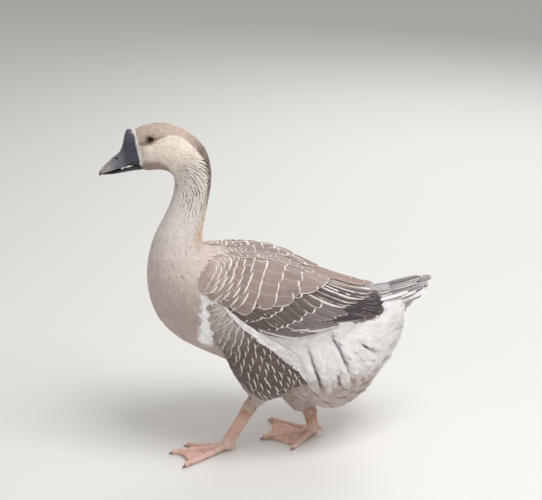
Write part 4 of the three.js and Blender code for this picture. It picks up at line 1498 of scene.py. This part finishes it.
def growTail():
    chance = np.random.default_rng(12)
    parts = []
    for number, layer in enumerate(tailLayers):
        kind = layer.get("kind", "covert")
        layer = {**tailKinds[kind], **layer}
        leaf = leaves[kind]
        count = layer["count"]
        spots = np.linspace(-1, 1, count)
        spots = spots[np.argsort(-np.abs(spots))] + chance.uniform(-0.03, 0.03, count)
        reach = (1 - layer["wedge"] * spots ** 2) * (1 - layer["spread"] * chance.random(count))
        root, tip = (np.stack([0 * spots + layer[end][0], spots * layer["halves"][k] * mm,
                               layer[end][1] - layer["drop"][k] * mm * spots ** 2], axis=1)
                     for k, end in enumerate(("root", "tip")))
        root[:, 2] += chance.normal(size=count) * layer["stray"] * mm
        tip[:, 1:] += chance.normal(size=(count, 2)) * layer["stray"] * mm * 0.8
        tip = root + (tip - root) * reach[:, None]
        share = leaf["along"][leaf["row"]]
        heads = unit(tip - root)
        ups = flatten(np.stack([-heads[:, 2], 0.35 * spots, heads[:, 0]], axis=1), heads)
        sides = np.cross(heads, ups)
        half = layer["breadth"] * mm / 2 * chance.uniform(0.9, 1.1, count)
        middle = root[:, None] + (tip - root)[:, None] * share[None, :, None]
        spread = (leaf["breadth"] * leaf["across"])[None] * half[:, None]
        # arched across and along, lifted in the middle of the layer and tilted like tiles
        height = leaf["thick"] * 0.30 * mm - 0.9 * mm * leaf["across"] ** 2 + 2.4 * mm * np.sin(np.pi * share)
        height = height[None] + (0.8 * mm * (1 - np.abs(spots)))[:, None] * share[None]
        height = height - np.sign(spots)[:, None] * 0.4 * mm * leaf["across"][None]
        points = middle + sides[:, None] * spread[..., None] + ups[:, None] * height[..., None]
        grey = layer["grey"] * ramp(-np.abs(spots), -0.95, -0.80) * chance.uniform(0.6, 1.0, count)
        tint = blend(linear(coatColours["white"]), linear(coatColours["tailFeather"]), grey)
        lengths = np.linalg.norm(tip - root, axis=1)
        rims = rimValues(layer["rim"], 0.0, 2.0, 2 * half, lengths, chance)
        parts.append((leaf, points, tint, rims, root[:, :2] + np.array([0.003 * number, 0])))
    gather("tail", parts, (0.006, 0.02), finishes["featherTail"])


growTail()

billForm = {
    "voxel": 0.75 * mm,
    "smoothing": 8,
    "backInto": 4.0 * mm,  # how far the bill's root goes on under the feathers
    "nostril": (-0.2815, 0.5932),
    "nostrilSize": (5.2 * mm, 2.1 * mm),
    "nostrilSlope": 24,
    "nostrilDepth": 2.2 * mm,
    "nailFrom": -0.3035,
    "rootEnds": {"bill_top": (-0.2520, -0.2470), "bill_under": (-0.2450, -0.2410)},
    "mouthX": (-0.313, -0.300, -0.285, -0.270, -0.255, -0.244),
    "mouthZ": (0.563, 0.5655, 0.5700, 0.5760, 0.5795, 0.5805),
}

billColours = {
    "base": (62, 60, 76),
    "top": (84, 76, 92),
    "middle": (104, 106, 114),
    "front": (156, 150, 148),
    "nail": (190, 178, 166),
    "nailEdge": (78, 62, 56),
    "edge": (44, 42, 50),
    "nostril": (24, 22, 28),
    "under": (30, 28, 34),
}


def mouthLine(points):
    # the mouth's line as a height at each x
    return np.interp(points[:, 0], billForm["mouthX"], billForm["mouthZ"])


def nostrilShare(points, grow=1.0):
    slope = math.radians(billForm["nostrilSlope"])
    ahead = points[:, 0] - billForm["nostril"][0]
    up = points[:, 2] - billForm["nostril"][1]
    along = ahead * math.cos(slope) + up * math.sin(slope)
    over = up * math.cos(slope) - ahead * math.sin(slope)
    size = billForm["nostrilSize"]
    away = np.sqrt((along / size[0]) ** 2 + (over / size[1]) ** 2) / grow
    return ramp(-away, -1.0, -0.45)


def billMarks(points, upper):
    x, y, z = points.T
    patchy = noise(points, 0.012, 61) * 0.5 + noise(points, 0.004, 62) * 0.3
    tone = {key: linear(value) for key, value in billColours.items()}
    colours = np.tile(tone["base"], (len(points), 1))

    def mix(name, share):
        nonlocal colours
        colours = blend(colours, tone[name], np.clip(share, 0, 1))

    mix("top", ramp(z, 0.628, 0.640))
    mix("middle", ramp(-x + 0.004 * patchy, 0.262, 0.278))
    mix("front", ramp(-x + 0.004 * patchy, 0.282, 0.298))
    # a painted highlight: a pale strip along the middle of the culmen, in the front's tone
    mix("front", ramp(-np.abs(y), -0.005, -0.001) * ramp(-x, 0.264, 0.276) * 0.6)
    nail = ramp(-x, -billForm["nailFrom"] - 0.0008, -billForm["nailFrom"] + 0.0008)
    mix("nail", nail * ramp(-np.abs(y), -0.0075, -0.006))
    mix("nailEdge", ramp(-x, 0.3085, 0.3115))
    mix("edge", ramp(-(z - mouthLine(points)), -0.0016, -0.0002) * 0.9)
    # painted shade inside the nostril
    mix("nostril", nostrilShare(points, 0.95))
    if not upper:
        mix("under", ramp(z, 0.558, 0.566) * 0.9)
    return np.clip(colours * (1 + 0.10 * patchy)[:, None], 0, 1)


def makeBill(name, node, upper):
    bill = copyOfNodes(name, [node])
    remesh(bill, billForm["voxel"], billForm["smoothing"], 0.15 * mm)
    points, normals = pointsOf(bill), normalsOf(bill)
    if upper:
        # nostril and its brow, the groove over the mouth and the nail's rim
        points = points - normals * (billForm["nostrilDepth"] * nostrilShare(points))[:, None]
        brow = np.clip(nostrilShare(points, 1.7) - nostrilShare(points, 1.05), 0, 1)
        points = points + normals * (0.5 * mm * brow)[:, None]
        groove = np.exp(-((points[:, 2] - mouthLine(points) - 2.6 * mm) / (0.7 * mm)) ** 2)
        points = points - normals * (0.35 * mm * groove * ramp(np.abs(points[:, 1]), 0.004, 0.007))[:, None]
        nailRim = np.exp(-((points[:, 0] - billForm["nailFrom"]) / (0.5 * mm)) ** 2)
        points = points - normals * (0.35 * mm * nailRim)[:, None]
    ripple = noise(points, 0.0035, 63) * 0.06 * mm
    points = points + normals * ripple[:, None]
    points[:, 0] += billForm["backInto"] * ramp(points[:, 0], *billForm["rootEnds"][name])
    if not upper:
        # the lower half ends under the nail
        ahead = ramp(-points[:, 0], 0.286, 0.306)
        points[:, 0] -= 4.5 * mm * ahead
        points[:, 2] += 1.2 * mm * ahead
    movePoints(bill, points)
    paintPoints(bill, billMarks(points, upper))
    return bill


# size of the plates, how dark the creases are, how high the plates stand and how rough they are
leatherLooks = {
    "billHorn": {"cell": 0.0022, "crease": 0.10, "depth": 0.08 * mm, "rough": 0.20, "Coat_Weight": 0.25},
    "legSkin": {"cell": 0.0013, "crease": 0.18, "depth": 0.12 * mm, "rough": 0.42, "Coat_Weight": 0.08,
                "Subsurface_Weight": 0.06, "Subsurface_Radius": (0.004, 0.0015, 0.001)},
}


def leatherMaterial(name, cell, crease, depth, rough, **constants):
    # skin of small plates: darker in the creases, raised between them
    material, tree, shader = newMaterial(name, **constants)
    uneven = mottledMark(tree, 0.45, 0.010)
    plates = useGroup(tree, platePattern, Color=uneven["Color"], Cell=cell, Crease=crease, Rough=rough)
    tree.links.new(plates["Color"], shader.inputs["Base Color"])
    tree.links.new(plates["Gloss"], shader.inputs["Roughness"])
    addBump(tree, shader, plates["Height"], depth, 0.7)
    return material


def makePlatePattern():
    group, given, result = newGroup("platePattern", [
        ("Color", "Color", None), ("Cell", "Float", 0.003), ("Crease", "Float", 0.4), ("Rough", "Float", 0.5),
    ], [("Color", "Color"), ("Height", "Float"), ("Gloss", "Float")])
    place = addNode(group, "TexCoord").outputs["Object"]
    scale = mathNode(group, "DIVIDE", 1.0, given["Cell"])
    cells = addNode(group, "TexVoronoi", {"Vector": place, "Scale": scale}, feature="DISTANCE_TO_EDGE")
    line = stepNode(group, cells.outputs["Distance"], 0.02, 0.16)
    fine = addNode(group, "TexNoise", {"Vector": place, "Scale": 900.0, "Detail": 3.0}).outputs["Fac"]
    depth = mathNode(group, "MULTIPLY", mathNode(group, "SUBTRACT", 1.0, line), given["Crease"])
    dark = mathNode(group, "SUBTRACT", 1.0, depth)
    group.links.new(mixNode(group, 1.0, given["Color"], dark, "MULTIPLY"), result["Color"])
    group.links.new(mathNode(group, "MULTIPLY_ADD", fine, 0.25, line), result["Height"])
    rough = mathNode(group, "MULTIPLY_ADD", fine, 0.25, given["Rough"])
    group.links.new(mathNode(group, "MULTIPLY_ADD", depth, 0.2, rough), result["Gloss"])
    return group


platePattern = makePlatePattern()
billHorn = leatherMaterial("billHorn", **leatherLooks["billHorn"])
for name, node, upper in (("bill_top", "bill_upper", True), ("bill_under", "bill_lower", False)):
    bill = makeBill(name, node, upper)
    dress(bill, billHorn)
    finishPiece(bill, [node])
    print(name, len(bill.data.polygons), "faces")

# the small horn plates that show between the bill's halves near the corner of the mouth
teethForm = {
    "count": 10,
    "from": -0.2735,
    "run": 0.0190,
    "half": 0.0132,  # how far from the middle, and how much farther at the rear
    "wider": 0.0008,
    "x": (-0.285, -0.270, -0.255, -0.244),
    "z": (0.5712, 0.5772, 0.5803, 0.5810),
    "size": (0.85 * mm, 1.4 * mm),
    "heights": (1.9, 1.9, 1.9, 1.0, 1.0),  # in turn (mm)
    "lean": (14, 0, -8),
}


def makeTeeth():
    heights = teethForm["heights"]
    for number in range(teethForm["count"]):
        share = number / (teethForm["count"] - 1)
        x = teethForm["from"] + teethForm["run"] * share
        half = teethForm["half"] + teethForm["wider"] * share
        z = float(np.interp(x, teethForm["x"], teethForm["z"]))
        for side in (1, -1):
            bpy.ops.object.select_all(action="DESELECT")
            place = (x, side * half, z)
            bpy.ops.mesh.primitive_uv_sphere_add(segments=10, ring_count=6, radius=1, location=place)
            tooth = bpy.context.active_object
            tooth.scale = (*teethForm["size"], heights[number % len(heights)] * mm)
            tooth.rotation_euler = [math.radians(angle * side) for angle in teethForm["lean"]]
            settle(tooth)
            tooth.name = "tooth"
    pickOnly(*[piece for piece in bpy.data.objects if piece.name.startswith("tooth")])
    bpy.ops.object.join()
    row = bpy.context.view_layer.objects.active
    row.name = "bill_teeth"
    settle(row)
    bpy.ops.object.shade_smooth()
    return row


teeth = makeTeeth()
# near-white and glossy: the pale horn of the plates with painted wet glints
toothHornAndGlint, tree, shader = newMaterial("toothHornAndGlint", Roughness=0.22, Coat_Weight=0.6)
uneven = useGroup(tree, mottle, Color=(*linear((252, 250, 250)), 1), Amount=0.4, Size=0.003)
tree.links.new(uneven["Color"], shader.inputs["Base Color"])
dress(teeth, toothHornAndGlint)
finishPiece(teeth)

eyeLook = {
    "pupil": 17,  # degrees from the middle
    "iris": 44,
    "dark": (10, 8, 8),
    "brown": (74, 48, 30),
    "rim": (30, 20, 15),
    "bulge": 0.5 * mm,
}


def makeEye(side, name):
    centre, axis = eyePlace(side)
    bpy.ops.object.select_all(action="DESELECT")
    bpy.ops.mesh.primitive_uv_sphere_add(segments=48, ring_count=32, radius=eyes["radius"])
    eye = bpy.context.active_object
    eye.rotation_euler = Vector(axis).to_track_quat("Z", "Y").to_euler()
    settle(eye)
    points = pointsOf(eye)
    turn = np.degrees(np.arccos(np.clip(unit(points) @ axis, -1, 1)))
    points = points + unit(points) * (eyeLook["bulge"] * ramp(-turn, -32, 0))[:, None]
    movePoints(eye, points + centre)
    tone = {key: linear(eyeLook[key]) for key in ("dark", "brown", "rim")}
    colours = np.tile(tone["dark"], (len(points), 1))
    streaks = 0.75 + 0.25 * noise(unit(points) * 0.01, 0.004, 70)
    iris = ramp(turn, eyeLook["pupil"], eyeLook["pupil"] + 3) * streaks
    colours = blend(colours, tone["brown"], np.clip(iris, 0, 1))
    colours = blend(colours, tone["rim"], ramp(turn, eyeLook["iris"] - 10, eyeLook["iris"] - 2))
    paintPoints(eye, colours)
    eye.name = name
    bpy.ops.object.shade_smooth()
    return eye


eyeGlass, tree, shader = newMaterial("eyeGlass", Roughness=0.16, Specular_IOR_Level=0.22, Coat_Weight=0.12,
                                     Coat_Roughness=0.05)
uneven = mottledMark(tree, 0.3, 0.002)
tree.links.new(uneven["Color"], shader.inputs["Base Color"])
for side, sideName in ((-1, "left"), (1, "right")):
    eye = makeEye(side, "eyeball_" + sideName)
    dress(eye, eyeGlass)
    finishPiece(eye, ["eye_" + sideName])

legForm = {
    "voxel": 0.9 * mm,
    "smoothing": 5,
    "plate": 2.6 * mm,
    "plateHeight": 0.45 * mm,
    "fuller": 1.3 * mm,
    "webRise": 2.0 * mm,
    "webFolds": 1.6 * mm,
}

# the middle of each shank's upper end, and the place in the thigh that it is drawn out to
legTops = {
    "left": {"end": (-0.0475, -0.0350, 0.0980), "into": (-0.0415, -0.0380, 0.1130)},
    "right": {"end": (0.0775, 0.0215, 0.0495), "into": (0.0690, 0.0300, 0.0670)},
}

legColours = {
    "top": (206, 164, 138),
    "shank": (238, 196, 180),
    "toe": (255, 218, 204),
    "web": (252, 202, 184),
    "dullTone": (186, 144, 122),
}


def makeLeg(side):
    leg = copyOfNodes("leg_" + side, ["shank_" + side, "foot_" + side])
    remesh(leg, legForm["voxel"], legForm["smoothing"], 0.2 * mm)
    points, normals = pointsOf(leg), normalsOf(leg)
    end, into = np.array(legTops[side]["end"]), np.array(legTops[side]["into"])
    below = (end - points) @ unit(into - end)
    nearTop = ramp(-np.linalg.norm(points - end, axis=1), -0.042, -0.030)
    fuller = legForm["fuller"] * ramp(points[:, 2], 0.012, 0.035) * ramp(-points[:, 2], -0.100, -0.080)
    points = points + normals * fuller[:, None]
    low = ramp(points[:, 2], 0.0008, 0.003)
    cells = cellEdges(points, legForm["plate"], 91)
    height = legForm["plateHeight"] * (cells - 0.5)
    wrinkles = noise(points, 0.006, 92) * 0.25 * mm + noise(points, 0.0025, 93) * 0.12 * mm
    upper = np.abs(normals[:, 2])
    rough = height * (1 - 0.75 * upper * (points[:, 2] < 0.03)) + wrinkles
    points = points + normals * (rough * low)[:, None]
    web = ramp(-points[:, 2], -0.0090, -0.0055) * (points[:, 2] > 0.0015) * (normals[:, 2] > 0.6)
    folds = 0.5 + 0.5 * noise(points * (0.45, 1, 1), 0.010, 96)
    rise = legForm["webRise"] + legForm["webFolds"] * folds
    points[:, 2] += web * rise * ramp(points[:, 2], 0.0015, 0.0040)
    points = points + (into - end) * (ramp(-below, -0.014, 0.0) ** 1.5 * nearTop)[:, None]
    movePoints(leg, points)
    patchy = noise(points, 0.02, 94) * 0.5 + noise(points, 0.006, 95) * 0.4
    tone = {key: linear(value) for key, value in legColours.items()}
    colours = blend(tone["toe"], tone["shank"], ramp(points[:, 2], 0.015, 0.035))
    colours = blend(colours, tone["top"], ramp(-below + 0.006 * patchy, -0.034, -0.010) * nearTop)
    colours = blend(colours, tone["web"], web)
    # darker towards the floor, and in random patches
    dulled = ramp(-points[:, 2] + 0.004 * patchy, -0.007, -0.001) * 0.55 + 0.30 * np.clip(patchy, 0, 1)
    colours = blend(colours, tone["dullTone"], np.clip(dulled, 0, 0.8))
    colours = colours * (0.78 + 0.22 * cells)[:, None]
    paintPoints(leg, np.clip(colours * (1 + 0.08 * patchy)[:, None], 0, 1))
    return leg


def cellEdges(points, gap, seed):
    # 1 on a plate's middle and 0 in the creases between plates
    chance = np.random.default_rng(seed)
    low, high = points.min(0) - gap, points.max(0) + gap
    counts = np.ceil((high - low) / gap).astype(int)
    grid = np.stack(np.meshgrid(*[np.arange(n) for n in counts], indexing="ij"), axis=-1).reshape(-1, 3)
    seeds = low + (grid + chance.uniform(0.1, 0.9, grid.shape)) * gap
    home = np.floor((points - low) / gap).astype(int)
    best = np.full((len(points), 2), 9.0)
    for dx in (-1, 0, 1):
        for dy in (-1, 0, 1):
            for dz in (-1, 0, 1):
                cell = np.clip(home + (dx, dy, dz), 0, counts - 1)
                index = (cell[:, 0] * counts[1] + cell[:, 1]) * counts[2] + cell[:, 2]
                far = np.linalg.norm(points - seeds[index], axis=1) / gap
                closer = far < best[:, 0]
                best[:, 1] = np.where(closer, best[:, 0], np.minimum(best[:, 1], far))
                best[:, 0] = np.where(closer, far, best[:, 0])
    return ramp(best[:, 1] - best[:, 0], 0.02, 0.30)


legSkin = leatherMaterial("legSkin", **leatherLooks["legSkin"])
for side in ("left", "right"):
    leg = makeLeg(side)
    dress(leg, legSkin)
    finishPiece(leg, ["shank_" + side, "foot_" + side])
    print("leg", side, len(leg.data.polygons), "faces")

clawForm = {"voxel": 0.35 * mm, "smoothing": 4, "swell": 0.1 * mm, "hindReach": 0.030, "hindLength": 0.6}
clawColours = {"root": (176, 142, 122), "tip": (70, 56, 48), "hind": (206, 172, 156)}

clawHorn, tree, shader = newMaterial("clawHorn", Coat_Weight=0.2)
uneven = mottledMark(tree, 0.9, 0.003)
tree.links.new(uneven["Color"], shader.inputs["Base Color"])
tree.links.new(stepNode(tree, uneven["Value"], 0.2, 1.6), shader.inputs["Roughness"])
for side in ("left", "right"):
    nodes = ["claw_" + side + "_" + toe for toe in ("outer", "middle", "inner", "hind")]
    claws = copyOfNodes("claws_" + side, nodes)
    remesh(claws, clawForm["voxel"], clawForm["smoothing"], clawForm["swell"])
    points = pointsOf(claws)
    heel = points[:, 0] > points[:, 0].max() - clawForm["hindReach"]
    forward = points[heel, 0].min()
    points[heel, 0] = forward + (points[heel, 0] - forward) * clawForm["hindLength"]
    movePoints(claws, points)
    front, tip, hind = (linear(clawColours[key]) for key in ("root", "tip", "hind"))
    colours = blend(front, tip, ramp(-points[:, 2], -0.0055, -0.0015))
    colours = np.where(heel[:, None], hind, colours)
    paintPoints(claws, colours)
    dress(claws, clawHorn)
    finishPiece(claws, nodes)

# short feathers that run from the thigh over the top of each shank
tuftForm = {"count": 110, "breadth": 4.6 * mm, "above": 7 * mm, "below": 10 * mm, "ring": 12 * mm}
tuftColours = {"pale": (214, 190, 174), "dull": (176, 146, 128)}


def growTufts(side):
    chance = np.random.default_rng(33 if side == "left" else 34)
    end, into = np.array(legTops[side]["end"]), np.array(legTops[side]["into"])
    axis = unit(end - into)
    points = pointsOf(bpy.data.objects["leg_" + side]) - end
    level = points @ axis
    points = points[(level > 0.004) & (level < 0.012)]
    wide = np.linalg.norm(points - (points @ axis)[:, None] * axis, axis=1)
    radius = float(np.percentile(wide[wide < 0.020], 70))
    first = unit(np.cross(axis, (0, 1, 0)))
    second = np.cross(axis, first)
    count = tuftForm["count"]
    spin = chance.uniform(0, 2 * np.pi, count)
    out = first * np.cos(spin)[:, None] + second * np.sin(spin)[:, None]
    above = tuftForm["above"] * chance.uniform(0.4, 1.4, count)
    root, _ = touchGround(end - axis * above[:, None] + out * tuftForm["ring"])
    reach = tuftForm["below"] * chance.uniform(0.2, 1.25, count)
    tip = end + axis * reach[:, None] + out * (radius + 0.8 * mm)
    heads = unit(tip - root)
    ups = flatten(out, heads)
    sides = np.cross(heads, ups)
    leaf = leaves["contour"]
    along = leaf["along"][leaf["row"]]
    length = np.linalg.norm(tip - root, axis=1)
    half = tuftForm["breadth"] / 2
    spots = root[:, None] + heads[:, None] * (length[:, None] * along)[..., None]
    spots = spots + sides[:, None] * (leaf["breadth"] * leaf["across"] * half)[None, :, None]
    lift = leaf["thick"] * 0.2 * mm + 1.6 * mm * np.sin(np.pi * along ** 0.8)
    spots = spots + ups[:, None] * lift[None, :, None]
    colours = blend(linear(tuftColours["dull"]), linear(tuftColours["pale"]), chance.random(count))
    rims = rimValues(0.3, 0.0, 0.6, np.full(count, 2 * half), length, chance)
    patches = np.stack([0.05 + 0.9 * spin / (2 * np.pi), chance.uniform(0.05, 0.95, count)], axis=1)
    joinLeaves("tufts_" + side, leaf, spots, patches, (0.003, 0.003), colours, rims, finishes["featherDown"])


growTufts("left")
growTufts("right")
print("bill, eyes, legs and claws done")
